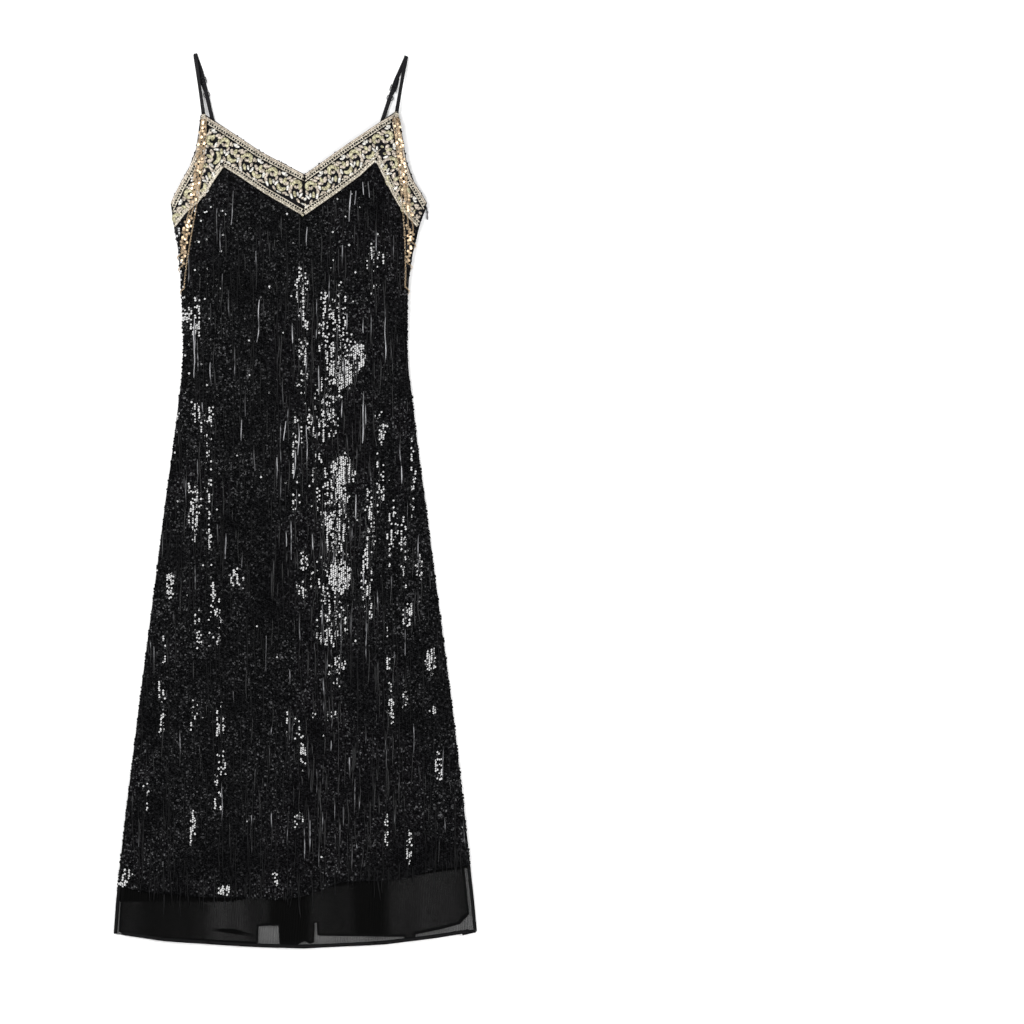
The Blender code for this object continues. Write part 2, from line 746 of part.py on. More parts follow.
def make_fringe(name, roots, tape_height_of, surface_of, length_of, drift_of, past_edge=0):
    """A tape with strands: its lower side has a short face at each root, drawn down into a strand."""
    cuts = {x + side * STRAND_WIDTH / 2: None for x in roots for side in (-1, 1)}
    middle_height = tape_height_of(0)
    for share in COLUMNS:
        x = place_x(share, middle_height)
        if min(cuts) < x < max(cuts) and min(abs(x - root) for root in roots) > STRAND_WIDTH:
            cuts[x] = None
    cuts = sorted(cuts)
    points, faces, face_at = [], [], {}
    for i, x in enumerate(cuts):
        face_at[round(x, 6)] = 4 * i
        height = tape_height_of(x)
        for back in (0, TAPE):
            z = surface_of(x, height + back) + FRINGE_GAP
            points += [(x, height + back, z), (x, height + back, z + TAPE_THICK)]
    starts = {face_at[round(x - STRAND_WIDTH / 2, 6)] for x in roots}
    for i in range(len(cuts) - 1):
        a, b = 4 * i, 4 * (i + 1)
        faces += [(a, b + 2, b), (a, a + 2, b + 2)]
        faces += [(a + 1, b + 1, b + 3), (a + 1, b + 3, a + 3)]
        faces += [(a + 2, a + 3, b + 3), (a + 2, b + 3, b + 2)]
        if a not in starts:
            faces += [(a, b, b + 1), (a, b + 1, a + 1)]
    last = 4 * (len(cuts) - 1)
    faces += [(0, 1, 3), (0, 3, 2), (last, last + 3, last + 1), (last, last + 2, last + 3)]
    for i, x in enumerate(roots):
        first = face_at[round(x - STRAND_WIDTH / 2, 6)]
        ring = [first, first + 4, first + 5, first + 1]
        base, length = tape_height_of(x), length_of(i)
        crossed = [h for h in ROWS if base - length + 5 < h < base - past_edge - 5]
        crossed = crossed or [base - past_edge - 0.35 * (length - past_edge)]
        for height in [base - past_edge] * bool(past_edge) + crossed + [base - length]:
            share = (base - height) / length
            middle = x + drift_of(i) * share * share
            half = STRAND_WIDTH / 2 * (1 - 0.35 * share)
            z = max(surface_of(middle - half, height), surface_of(middle + half, height)) + FRINGE_GAP
            start = len(points)
            points += [(middle - half, height, z), (middle + half, height, z)]
            points += [(middle + half, height, z + TAPE_THICK), (middle - half, height, z + TAPE_THICK)]
            new = [start, start + 1, start + 2, start + 3]
            for k in range(4):
                p, q = ring[k], ring[(k + 1) % 4]
                faces += [(p, q, new[(k + 1) % 4]), (p, new[(k + 1) % 4], new[k])]
            ring = new
        faces += [(ring[0], ring[1], ring[2]), (ring[0], ring[2], ring[3])]
    finish(name, points, faces, BLACK_SEQUIN)


def uneven(i, seed):
    """A steady but uneven value from -1 to 1, for one strand."""
    return math.sin(12.9898 * (i + 1) + 4.1 * seed) * math.cos(3.7 * (i + seed))


def make_body_fringe(row, seed):
    left = read(SIDES, "left", row.height) + 24
    right = read(SIDES, "right", row.height) - 24
    pitch = (right - left) / (row.strands - 1)
    inner = range(1, row.strands - 1)
    roots = [left + pitch * (i + 0.32 * uneven(i, seed) * (i in inner)) for i in range(row.strands)]
    make_fringe(
        row.name,
        roots,
        lambda x: row.height + 5 * math.sin(x / 31 + seed),
        front_top,
        lambda i: row.length * (0.8 + 0.25 * uneven(i, seed + 3)),
        lambda i: 5 * uneven(i, seed + 5),
    )


def make_hem_fringe():
    """Strands along the edge of the sequinned cloth, which hang over the chiffon below it."""
    left, right, count = -250, 250, 20

    def surface(x, height):
        edge = read(SEQUIN_HEM, "height", x)
        share = smooth(height, edge - 9, edge - 1)
        return between(underskirt_top(x, height), front_top(x, height), share)

    make_fringe(
        "fringe_hem",
        [between(left, right, (i + 0.3 * uneven(i, 2)) / (count - 1)) for i in range(count)],
        lambda x: read(SEQUIN_HEM, "height", x) + 2.5,
        surface,
        lambda i: 32 + 15 * uneven(i, 7),
        lambda i: 4 * uneven(i, 9),
        past_edge=3.5,
    )


# The side zip is sewn shut inside the left seam: its slider and hanging pull show at the underarm
ZIP_PIN = (197.7, 1103.5)
ZIP_LUG, ZIP_LUG_THICK = 1.9, 0.5
ZIP_PIN_RADIUS, EYE_HOLE, EYE = 0.5, 0.85, 1.7
ZIP_LOW = 0.3
PULL_THICK = 0.7
PULL_LOW = ZIP_LOW + ZIP_LUG_THICK + 0.3
PULL_LENGTH, PULL_WIDTH = 11.5, 3.4


def disc(whole, centre, radius, low, high, sides=14):
    made = bmesh.ops.create_cone(
        whole, cap_ends=True, cap_tris=False, segments=sides, radius1=radius, radius2=radius,
        depth=high - low,
    )  # fmt: skip
    bmesh.ops.translate(whole, vec=(centre[0], centre[1], (low + high) / 2), verts=made["verts"])


def block(whole, low, high):
    made = bmesh.ops.create_cube(whole, size=1)
    for vert in made["verts"]:
        vert.co = Vector(between(low[k], high[k], vert.co[k] + 0.5) for k in range(3))


def metal_part(name, shapes, cutters, pin, finish_of):
    """Joins simple shapes, drills the cutters out of them, and sets the part on its pin."""
    base = None
    for i, (kind, values) in enumerate(shapes + cutters):
        whole = bmesh.new()
        kind(whole, *values)
        bmesh.ops.scale(whole, vec=(MM, MM, MM), verts=whole.verts)
        mesh = bpy.data.meshes.new(f"{name}_{i}")
        whole.to_mesh(mesh)
        whole.free()
        if base is None:
            base = bpy.data.objects.new(name, mesh)
            bpy.context.scene.collection.objects.link(base)
            base.location = (pin[0] * MM, (pin[1] - LENGTH / 2) * MM, 0)
            continue
        tool = bpy.data.objects.new(f"{name}_{i}", mesh)
        bpy.context.scene.collection.objects.link(tool)
        tool.location = base.location
        tool.hide_render = True
        tool.display_type = "WIRE"
        join = base.modifiers.new(f"join_{i}", "BOOLEAN")
        join.operation = "UNION" if i < len(shapes) else "DIFFERENCE"
        join.object = tool
    colour, roughness, metallic = finish_of
    material = bpy.data.materials.new(name)
    material.use_nodes = True
    shader = material.node_tree.nodes["Principled BSDF"]
    shader.inputs["Base Color"].default_value = (*colour, 1)
    shader.inputs["Roughness"].default_value = roughness
    shader.inputs["Metallic"].default_value = metallic
    base.data.materials.append(material)


def plate(whole, outline, low, high):
    """A flat plate with the given outline."""
    under = [whole.verts.new((x, y, low)) for x, y in outline]
    over = [whole.verts.new((x, y, high)) for x, y in outline]
    whole.faces.new(under[::-1])
    whole.faces.new(over)
    for i in range(len(outline)):
        j = (i + 1) % len(outline)
        whole.faces.new((under[i], under[j], over[j], over[i]))


def make_zip():
    top = PULL_LOW + PULL_THICK + 0.3
    metal_part(
        "zip_slider",
        [
            (block, ((-1.9, 2.6, ZIP_LOW), (0.3, 7.2, top + ZIP_LUG_THICK))),
            (disc, ((0, 0), ZIP_LUG, ZIP_LOW, ZIP_LOW + ZIP_LUG_THICK)),
            (block, ((-1.5, -0.2, ZIP_LOW), (0.3, 3.1, ZIP_LOW + ZIP_LUG_THICK))),
            (disc, ((0, 0), ZIP_LUG, top, top + ZIP_LUG_THICK)),
            (block, ((-1.5, -0.2, top), (0.3, 3.1, top + ZIP_LUG_THICK))),
            (disc, ((0, 0), ZIP_PIN_RADIUS, ZIP_LOW + 0.1, top + 0.1, 10)),
        ],
        [],
        ZIP_PIN,
        STEEL,
    )
    half = PULL_WIDTH / 2
    tab = [(-0.8, -0.8), (-half, -8.6), (-half * 0.7, -PULL_LENGTH + 0.6), (-0.5, -PULL_LENGTH)]
    tab += [(-x, y) for x, y in reversed(tab)]
    metal_part(
        "zip_pull",
        [
            (disc, ((0, 0), EYE, PULL_LOW, PULL_LOW + PULL_THICK)),
            (plate, (tab, PULL_LOW, PULL_LOW + PULL_THICK)),
        ],
        [(disc, ((0, 0), EYE_HOLE, PULL_LOW - 1, PULL_LOW + PULL_THICK + 1))],
        ZIP_PIN,
        STEEL,
    )


# The whole dress
INNER = [share for share in COLUMNS if 0 < share < 1]
LINED = [share for share in COLUMNS if 0.04 < share < 0.96]

panel("back_panel", COLUMNS, back_heights, back_shell_floor, SHELL, BLACK_SEQUIN)
panel("back_binding", COLUMNS, binding_heights, back_shell_floor, SHELL, BLACK_SATIN)
panel("front_lining", LINED, lining_heights, lining_floor, LINING, BLACK_SATIN)
panel("front_panel", COLUMNS, front_heights, front_shell_floor, SHELL, BLACK_SEQUIN)
panel("underskirt_back", COLUMNS, underskirt_heights, underskirt_back_floor, CHIFFON, BLACK_CHIFFON)
panel("slip_back", INNER, slip_heights, slip_back_floor, CHIFFON, BLACK_CHIFFON)
panel("slip_front", INNER, slip_heights, slip_front_floor, CHIFFON, BLACK_CHIFFON)
panel("underskirt_front", COLUMNS, underskirt_heights, underskirt_front_floor, CHIFFON, BLACK_CHIFFON)
for strip in STRIPS:
    make_trim(strip)
for strap in STRAPS:
    make_strap(strap)
    make_tab(strap)
    make_slider(strap)
    make_ring(strap)
    for strand in STRANDS[strap.side]:
        make_strand(strand, strap.side)
    root = strap.tab_root[0]
    ring_mesh(
        f"chain_link_{strap.side}", (root, LINK_HEIGHT, 0.75), (5.4, 4.0), 0.7, GOLD_METAL, around=14
    )
for seed, row in enumerate(FRINGE_ROWS):
    make_body_fringe(row, seed)
make_hem_fringe()
make_zip()
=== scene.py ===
import math
import random

import bmesh
import bpy
import numpy as np
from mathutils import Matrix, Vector, noise
from mathutils.bvhtree import BVHTree


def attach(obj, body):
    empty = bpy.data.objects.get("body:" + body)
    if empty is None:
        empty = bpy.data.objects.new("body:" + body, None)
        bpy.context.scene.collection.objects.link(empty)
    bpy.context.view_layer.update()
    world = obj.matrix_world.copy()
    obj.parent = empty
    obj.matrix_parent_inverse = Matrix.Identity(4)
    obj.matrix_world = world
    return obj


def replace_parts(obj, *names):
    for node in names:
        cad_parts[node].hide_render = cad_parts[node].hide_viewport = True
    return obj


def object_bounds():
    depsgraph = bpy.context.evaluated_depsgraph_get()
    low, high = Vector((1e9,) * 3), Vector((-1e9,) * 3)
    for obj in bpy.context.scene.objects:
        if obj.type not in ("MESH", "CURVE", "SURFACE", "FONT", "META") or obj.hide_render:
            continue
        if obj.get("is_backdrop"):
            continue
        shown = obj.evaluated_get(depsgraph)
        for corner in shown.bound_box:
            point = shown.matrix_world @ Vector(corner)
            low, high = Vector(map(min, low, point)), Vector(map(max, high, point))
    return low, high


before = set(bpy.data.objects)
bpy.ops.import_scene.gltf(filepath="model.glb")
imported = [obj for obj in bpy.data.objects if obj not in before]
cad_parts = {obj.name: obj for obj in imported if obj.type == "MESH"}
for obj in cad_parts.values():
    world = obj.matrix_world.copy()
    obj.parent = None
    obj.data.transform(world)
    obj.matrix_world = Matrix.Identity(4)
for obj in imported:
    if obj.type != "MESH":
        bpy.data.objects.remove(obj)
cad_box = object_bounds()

# The dress lies front up on a plain white table under a soft studio light, with the camera straight
# above it. Lengths are in millimetres: x runs across the dress and height runs up it from the hem.
MM = 0.001
LENGTH = 1345.5
PIXEL = 1.5  # one pixel of the photograph
FRAME_MIDDLE = (324.75, 654.0)  # x and height of the middle of the photograph
CAMERA_HEIGHT = 5000
KEY_LIGHT = (-1900, 2150, 2700)  # x, height and z of the middle of each softbox
SIDE_LIGHT = (2300, 500, 2500)
FOOT_LIGHT = (200, -1900, 2400)


def place(x, height, z=0.0):
    return Vector((x * MM, (height - LENGTH / 2) * MM, z * MM))


camera = bpy.data.objects.new("camera", bpy.data.cameras.new("camera"))
bpy.context.scene.collection.objects.link(camera)
camera.location = place(*FRAME_MIDDLE, CAMERA_HEIGHT)
camera.data.sensor_width = 36
camera.data.lens = 36 * CAMERA_HEIGHT / (1024 * PIXEL)
camera.data.clip_end = 50
bpy.context.scene.camera = camera
bpy.context.scene.view_settings.view_transform = "Standard"


def softbox(name, middle, width, depth, watts):
    light = bpy.data.lights.new(name, "AREA")
    light.shape, light.size, light.size_y, light.energy = "RECTANGLE", width, depth, watts
    lamp = bpy.data.objects.new(name, light)
    bpy.context.scene.collection.objects.link(lamp)
    lamp.location = place(*middle)
    lamp.rotation_euler = (place(0, 650) - lamp.location).to_track_quat("-Z", "Y").to_euler()


softbox("key_softbox", KEY_LIGHT, 1.9, 1.9, 120)
softbox("side_softbox", SIDE_LIGHT, 1.2, 1.6, 60)
softbox("foot_softbox", FOOT_LIGHT, 1.8, 0.8, 45)

world = bpy.data.worlds.new("studio")
bpy.context.scene.world = world
world.use_nodes = True
glow = world.node_tree.nodes["Background"].inputs
glow["Color"].default_value, glow["Strength"].default_value = (1, 1, 1, 1), 0.02


class Shade:
    """A value inside a material. Arithmetic adds Math nodes, and node() adds any other kind."""

    def __init__(self, tree, socket):
        self.tree, self.socket = tree, socket

    def node(self, kind, settings, sockets, output=0):
        made = self.tree.nodes.new("ShaderNode" + kind)
        for name, value in settings.items():
            setattr(made, name, value)
        for name, value in sockets.items():
            if isinstance(value, Shade):
                self.tree.links.new(value.socket, made.inputs[name])
            else:
                made.inputs[name].default_value = value
        return Shade(self.tree, made.outputs[output])

    def maths(self, operation, *values):
        return self.node("Math", {"operation": operation}, dict(enumerate(values)))

    def __add__(self, other):
        return self.maths("ADD", self, other)

    def __sub__(self, other):
        return self.maths("SUBTRACT", self, other)

    def __rsub__(self, other):
        return self.maths("SUBTRACT", other, self)

    def __mul__(self, other):
        return self.maths("MULTIPLY", self, other)

    __radd__, __rmul__ = __add__, __mul__

    def step(self, low, high):
        """0 below low and 1 above high."""
        return self.node("MapRange", {}, {"Value": self, "From Min": low, "From Max": high})

    def mix(self, low, high):
        """From one colour to another as this value goes from 0 to 1."""
        return self.node("Mix", {"data_type": "RGBA"}, {0: self, 6: low, 7: high}, 2)

    def noise(self, scale, detail=2.0):
        return self.node("TexNoise", {}, {"Vector": self, "Scale": scale, "Detail": detail})

    def stretch(self, x, y, z):
        return self.node("Mapping", {}, {"Vector": self, "Scale": (x, y, z)})

    def turn(self, degrees):
        return self.node("Mapping", {}, {"Vector": self, "Rotation": (0, 0, math.radians(degrees))})

    def waves(self, scale, direction, twist=0.0):
        settings = {"bands_direction": direction}
        return self.node("TexWave", settings, {"Vector": self, "Scale": scale, "Distortion": twist}, 1)

    def cells(self, scale, output=0):
        return self.node("TexVoronoi", {}, {"Vector": self, "Scale": scale}, output)


def finish(name, **constants):
    """A new material with its constants set, its shader, and its object coordinates."""
    material = bpy.data.materials.new(name)
    material.use_nodes = True
    tree = material.node_tree
    shader = tree.nodes["Principled BSDF"]
    for socket, value in constants.items():
        shader.inputs[socket.replace("_", " ")].default_value = value
    where = tree.nodes.new("ShaderNodeTexCoord")
    return material, shader, Shade(tree, where.outputs["Object"])


def feed(shader, socket, value):
    value.tree.links.new(value.socket, shader.inputs[socket])


def bump(shader, height, depth, strength):
    sockets = {"Height": height, "Distance": depth * MM, "Strength": strength}
    feed(shader, "Normal", height.node("Bump", {}, sockets))


# The table glows a little through its emission. This is painted light: it lightens the shadows the dress
# casts on the table and lights the dress faintly from below.
glowing_table_top, shader, where = finish(
    "table_white_glowing", Roughness=0.9, Emission_Color=(1, 1, 1, 1), Emission_Strength=0.25
)
feed(shader, "Base Color", where.noise(3).mix((0.93, 0.93, 0.925, 1), (0.95, 0.95, 0.95, 1)))
bpy.ops.object.select_all(action="DESELECT")
bpy.ops.mesh.primitive_plane_add(size=14, location=(0, 0, -0.3 * MM))
table = bpy.context.object
table.name = "table"
table.data.materials.append(glowing_table_top)
table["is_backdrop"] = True


# Front and back of the dress: soft black net with a fine open mesh, each panel cut in one piece.
# Both lie nearly flat, with long soft folds that run down the skirt and small creases between them.
def tree_of(*objects):
    """What rays find: the faces of these objects."""
    points, faces = [], []
    for obj in objects:
        start = len(points)
        points += [v.co.copy() for v in obj.data.vertices]
        faces += [[start + i for i in face.vertices] for face in obj.data.polygons]
    return BVHTree.FromPolygons(points, faces)


def hit(tree, x, height, upward=False):
    """(z in mm, normal) of a surface, seen from above or from below, or None beside it."""
    start = place(x, height, -50 if upward else 100)
    spot, normal, _, _ = tree.ray_cast(start, Vector((0, 0, 1 if upward else -1)))
    return None if spot is None else (spot.z / MM, normal)


HEM_SLOPE = -0.14  # how the back's sequinned hem leans


def sheet_over(node, name, thickness, cuts, rounds, creases, side=1, shift=0.0, hem=None):
    """A thin shell on the upper face of a CAD node, or on its lower face, with creases in it."""
    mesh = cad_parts[node].data.copy()
    mesh.name = name
    mesh.materials.clear()
    form = bmesh.new()
    form.from_mesh(mesh)
    bmesh.ops.remove_doubles(form, verts=form.verts, dist=1e-6)
    form.normal_update()
    others = [face for face in form.faces if face.normal.z * side < 0.3]
    bmesh.ops.delete(form, geom=others, context="FACES")
    bmesh.ops.subdivide_edges(form, edges=form.edges, cuts=cuts, use_grid_fill=True)
    if hem:
        bisect(form, place(0, hem), (HEM_SLOPE, 1, 0), clear_inner=True)
    inner = [v for v in form.verts if not v.is_boundary]
    for _ in range(rounds):
        bmesh.ops.smooth_vert(form, verts=inner, factor=0.5, use_axis_z=True)
    for vert in form.verts:
        x, height = vert.co.x / MM, vert.co.y / MM + LENGTH / 2
        vert.co.z += (shift + creases(x, height)) * MM
    form.to_mesh(mesh)
    form.free()
    sheet = bpy.data.objects.new(name, mesh)
    bpy.context.scene.collection.objects.link(sheet)
    wall = sheet.modifiers.new("wall", "SOLIDIFY")
    wall.thickness, wall.offset = thickness * MM, -1
    bpy.ops.object.select_all(action="DESELECT")
    bpy.context.view_layer.objects.active = sheet
    sheet.select_set(True)
    bpy.ops.object.modifier_apply(modifier=wall.name)
    mesh.shade_smooth()
    return sheet


def bisect(form, through, normal, **options):
    every = form.verts[:] + form.edges[:] + form.faces[:]
    bmesh.ops.bisect_plane(form, geom=every, plane_co=through, plane_no=normal, **options)


def drape(x, height, seed, across=24.0, along=190.0):
    """Long uneven creases that run down the cloth, from 0 to about 1."""
    value = noise.noise(Vector((x / across, height / along, seed)))
    return max(0.0, 0.5 + value) ** 1.5


def soft_step(value, low, high):
    share = min(1.0, max(0.0, (value - low) / (high - low)))
    return share * share * (3 - 2 * share)


def front_creases(x, height):
    free = soft_step(1060 - height, 0, 160)
    return free * 1.5 * drape(x, height, 3.0) + 0.25 * drape(x, height, 8.0, 12, 60)


def creased(size, *how):
    """Creases up to about this height in millimetres, with the seed and sizes that drape takes."""
    return lambda x, height: size * drape(x, height, *how)


def lay(cloth, node, material):
    """Fixes a finished sheet to the dress in place of its CAD node, with this material."""
    cloth.data.materials.append(material)
    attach(cloth, "dress")
    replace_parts(cloth, node)


front = sheet_over("front_panel", "front_net", 0.9, 3, 6, front_creases)
back = sheet_over("back_panel", "back_net", 0.6, 2, 3, creased(0.25, 5.0), shift=-0.2, hem=84)

black_net, shader, where = finish("black_net", Roughness=0.8, Specular_IOR_Level=0.1)
holes = where.cells(900)
knots = holes.step(0.1, 0.6)
feed(shader, "Base Color", knots.mix((0.001, 0.001, 0.0012, 1), (0.006, 0.006, 0.007, 1)))
bump(shader, holes, 0.25, 0.8)
lay(front, "front_panel", black_net)
lay(back, "back_panel", black_net)


# Gold ribbon: a woven band 51 mm wide in four pieces, mitred at the centre and at each strap. It is
# black, with pale gold and rose scrolls, leaves and buds in raised satin stitch, and a beaded ladder
# and a twisted cord along each edge.
def mesh_object(name, points, faces, material, smooth=False):
    """An object from arrays of points in metres and of faces with the same number of corners."""
    points, faces = np.asarray(points, np.float32), np.asarray(faces, np.int32)
    mesh = bpy.data.meshes.new(name)
    mesh.vertices.add(len(points))
    mesh.vertices.foreach_set("co", points.ravel())
    mesh.loops.add(faces.size)
    mesh.loops.foreach_set("vertex_index", faces.ravel())
    mesh.polygons.add(len(faces))
    starts = np.arange(0, faces.size, faces.shape[1], dtype=np.int32)
    mesh.polygons.foreach_set("loop_start", starts)
    mesh.update(calc_edges=True)
    (mesh.shade_smooth if smooth else mesh.shade_flat)()
    mesh.materials.append(material)
    obj = bpy.data.objects.new(name, mesh)
    bpy.context.scene.collection.objects.link(obj)
    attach(obj, "dress")
    return obj


def metres(points):
    """Points of x, height and z in millimetres, as metres in the scene."""
    return (np.asarray(points, float) - (0, LENGTH / 2, 0)) * MM


def unit(rows):
    return rows / (np.linalg.norm(rows, axis=-1, keepdims=True) + 1e-12)


def level_and_over(along, least, aside):
    """The level way across each direction, or aside where it runs upright, and the third way."""
    level = np.cross((0.0, 0.0, 1.0), along)
    length = np.linalg.norm(level, axis=1, keepdims=True)
    level = np.where(length > least, level / np.maximum(length, 1e-9), aside)
    return level, np.cross(along, level)


def grid(rows, wide, round_row=True, round_rows=False):
    """Four-sided faces between rows of points, numbered row by row."""
    i = np.arange(rows if round_rows else rows - 1)[:, None]
    k = np.arange(wide if round_row else wide - 1)[None]
    j, m = (i + 1) % rows, (k + 1) % wide
    return np.stack([i * wide + k, i * wide + m, j * wide + m, j * wide + k], -1).reshape(-1, 4)


def tubes(paths, radii, sides, flat, closed=False):
    """Points and faces of tubes along lines of points, with their open ends drawn to a point."""
    points, faces, count = [], [], 0
    angles = np.radians((np.arange(sides) + 0.5) * 360 / sides)
    for path, radius in zip(paths, radii):
        path = np.asarray(path, float)
        radius = np.broadcast_to(radius, len(path)).astype(float)
        if not closed:
            path = np.concatenate([path[:1], path, path[-1:]])
            radius = np.concatenate([[radius[0] * 0.02], radius, [radius[-1] * 0.02]])
            along = np.gradient(path, axis=0)
            along[0], along[-1] = along[1], along[-2]
        else:
            along = np.roll(path, -1, 0) - np.roll(path, 1, 0)
        level, over = level_and_over(unit(along), 0.05, (1.0, 0.0, 0.0))
        wide, tall = np.cos(angles)[None, :, None], flat * np.sin(angles)[None, :, None]
        turn = wide * level[:, None] + tall * over[:, None]
        points.append((path[:, None] + radius[:, None, None] * turn).reshape(-1, 3))
        faces.append(count + grid(len(path), sides, round_rows=closed))
        count += len(path) * sides
    return np.concatenate(points), np.concatenate(faces)


def tube_object(name, paths, radii, material, slot, sides, flat):
    points, faces = tubes(paths, radii, sides, flat)
    return mesh_object(name, metres(points), faces, material, True)


STRIPS = (
    # CAD node, where its pattern starts, flat length and area in metres, upper edge, lower edge
    (
        "trim_neck_left", 8, (0.185, 0.0085),
        ((-136.6, 1248.1), (-104.9, 1229.2), (-52.1, 1193.9), (13.6, 1159.5)),
        ((-106.2, 1170), (-82, 1155), (-47, 1131.5), (12.1, 1097)),
    ),
    (
        "trim_neck_right", 4, (0.185, 0.0085),
        ((150.4, 1251.6), (124.9, 1236.4), (70, 1199.5), (14.2, 1159.5)),
        ((120.2, 1178.5), (98, 1157.5), (62, 1131), (12.7, 1097)),
    ),
    (
        "trim_armhole_left", -6, (0.150, 0.0055),
        ((-137.3, 1248.1), (-144, 1219), (-149.1, 1191), (-159.6, 1167), (-174.6, 1141), (-186.2, 1117)),
        ((-106.9, 1170), (-119.5, 1152), (-131, 1134), (-146, 1115.5), (-163, 1101.5), (-180.5, 1079)),
    ),
    (
        "trim_armhole_right", -10, (0.150, 0.0055),
        ((151.1, 1251.6), (159.5, 1215), (166.4, 1179), (173.9, 1155), (188.9, 1131), (197.1, 1117)),
        ((120.9, 1178.5), (134, 1152), (145, 1130), (154, 1114), (166, 1098), (183.6, 1079)),
    ),
)  # fmt: skip
BAND = 51.0  # width of the ribbon
REPEAT = 41.0
STITCH_TALL = 0.9
LEAF_GAP = 4.0

# Each stitch is a thread, a width, and a line (from, to) or an arc (middle, radius, from and to
# degrees). Each point is how far along the band and how far across it.
STITCHES = (
    ("green", 5.6, 0, 19.5, 5.9, -215, 30), ("rose", 3.6, 0.4, 20.2, 2.1, -60, 190),
    ("rose", 4.4, -6.8, 21.5, -6.6, 29.5), ("rose", 4.4, -6.6, 28, -2.4, 34.5),
    ("silver", 3.8, -3, 33, 3.4, 38.8), ("green", 4.4, 0.6, 28, 6.2, 34.6),
    ("silver", 3.2, 5.6, 26.8, 9.6, 31.6), ("rose", 3.6, 9, 20, 9.4, 26.6),
    ("green", 5.8, 21.5, 28, 6.4, 12, 168), ("rose", 5.2, 20.2, 26, 13.6, 20.6),
    ("green", 5, 21.5, 25.6, 21.2, 16.8), ("rose", 5.2, 22.8, 26, 29.2, 21),
    ("silver", 3.6, 30.2, 24, 31.8, 31.6), ("silver", 3.4, 13, 25, 11.8, 33),
    ("silver", 3.4, 16.6, 14.8, 13, 11), ("silver", 3.4, 17, 14.8, 17.4, 9.4),
    ("silver", 3.4, 17.6, 15, 22, 11.8), ("rose", 4.4, 23.6, 17.6, 29, 12),
    ("rose", 4.2, 28, 18.2, 34, 13), ("rose", 3.2, 9.4, 18, 8.6, 12),
    ("rose", 3.4, 9.4, 35.6, 16, 39.2), ("silver", 2.4, 18, 38.9, 25.6, 38.9),
    ("rose", 3.6, 27, 38.8, 33.4, 35.2), ("cream", 2.6, 21.6, 33.4, 21.4, 38.2),
    ("cream", 2.4, -9.6, 12.4, -5.6, 10.4), ("cream", 2.2, 11.6, 17.4, 11.4, 12.6),
    ("green", 2.2, 31.6, 18.6, 32.4, 23.4), ("cream", 2.6, -3.4, 36.8, -8.4, 38.6),
)  # fmt: skip


def lengths_along(points):
    """How far along a line each of its points lies."""
    return np.concatenate([[0], np.cumsum(np.linalg.norm(np.diff(points, axis=0), axis=1))])


def polyline(points):
    """A function from a length along a line to (point, direction), straight on past its ends."""
    points = np.asarray(points, float)
    lengths = lengths_along(points)

    def spot(s):
        inside = min(max(s, 0.0), lengths[-1])
        at = np.array([np.interp(inside, lengths, points[:, k]) for k in range(points.shape[1])])
        i = int(np.clip(np.searchsorted(lengths, inside) - 1, 0, len(points) - 2))
        straight = (points[i + 1] - points[i]) / (lengths[i + 1] - lengths[i])
        return at + straight * (s - inside)

    def read(s, reach=9.0):
        return spot(s), unit(spot(s + reach) - spot(s - reach))

    return read, lengths[-1]


def lens(line, width, tall):
    """A raised, tapered shape over a line of (x, height, z), five points across."""
    line = np.asarray(line, float)
    along = unit(np.gradient(line[:, :2], axis=0))
    side = np.column_stack([-along[:, 1], along[:, 0]])
    share = np.linspace(0, 1, len(line))
    half = 0.5 * width * np.maximum(0.12, np.sin(np.pi * (0.08 + 0.84 * share)) ** 0.6)
    rows = []
    for offset, lift in ((-1, -0.3), (-0.62, 0.72), (0, 1), (0.62, 0.72), (1, -0.3)):
        up = tall * lift * np.maximum(0.3, np.sin(np.pi * (0.04 + 0.92 * share)) ** 0.5)
        rows.append(np.column_stack([line[:, :2] + side * (half * offset)[:, None], line[:, 2] + up]))
    return np.stack(rows, 1).reshape(-1, 3), grid(len(line), 5, round_row=False)


def joined(parts):
    """One set of points and faces from several."""
    points, faces, count = [], [], 0
    for some_points, some_faces in parts:
        points.append(some_points)
        faces.append(np.asarray(some_faces) + count)
        count += len(some_points)
    return np.concatenate(points), np.concatenate(faces)


ground, shader, where = finish("ribbon_ground", Roughness=0.8, Specular_IOR_Level=0.15)
weave = where.turn(30).waves(260, "X") * where.turn(30).waves(260, "Y")
feed(shader, "Base Color", weave.mix((0.002, 0.002, 0.003, 1), (0.012, 0.012, 0.014, 1)))
bump(shader, weave, 0.2, 0.6)


def thread(name, dark, pale):
    """Satin-stitched metallic thread in close ridges, with uneven glitter painted into its colour as paler
    patches.
    """
    material, shader, where = finish(name, Metallic=0.35, Sheen_Weight=0.1)
    ridges = where.turn(37).waves(330, "X", 3.0)
    # Painted glitter: noise patches that lift the thread from its dark colour towards its pale one
    painted_glitter = where.noise(430, 3).step(0.4, 0.58)
    feed(shader, "Base Color", (ridges * 0.25 + painted_glitter * 0.8).mix(dark, pale))
    feed(shader, "Roughness", where.maths("FRACT", where.noise(800) * 7) * 0.25 + 0.3)
    bump(shader, ridges, 0.25, 0.8)
    return material


THREADS = {
    "green": thread("thread_green_gold", (0.16, 0.14, 0.07, 1), (0.66, 0.62, 0.41, 1)),
    "rose": thread("thread_rose_gold", (0.2, 0.16, 0.12, 1), (0.78, 0.69, 0.58, 1)),
    "silver": thread("thread_pale", (0.4, 0.38, 0.34, 1), (1.0, 0.98, 0.92, 1)),
    "cream": thread("thread_cream", (0.2, 0.17, 0.12, 1), (0.86, 0.79, 0.66, 1)),
}

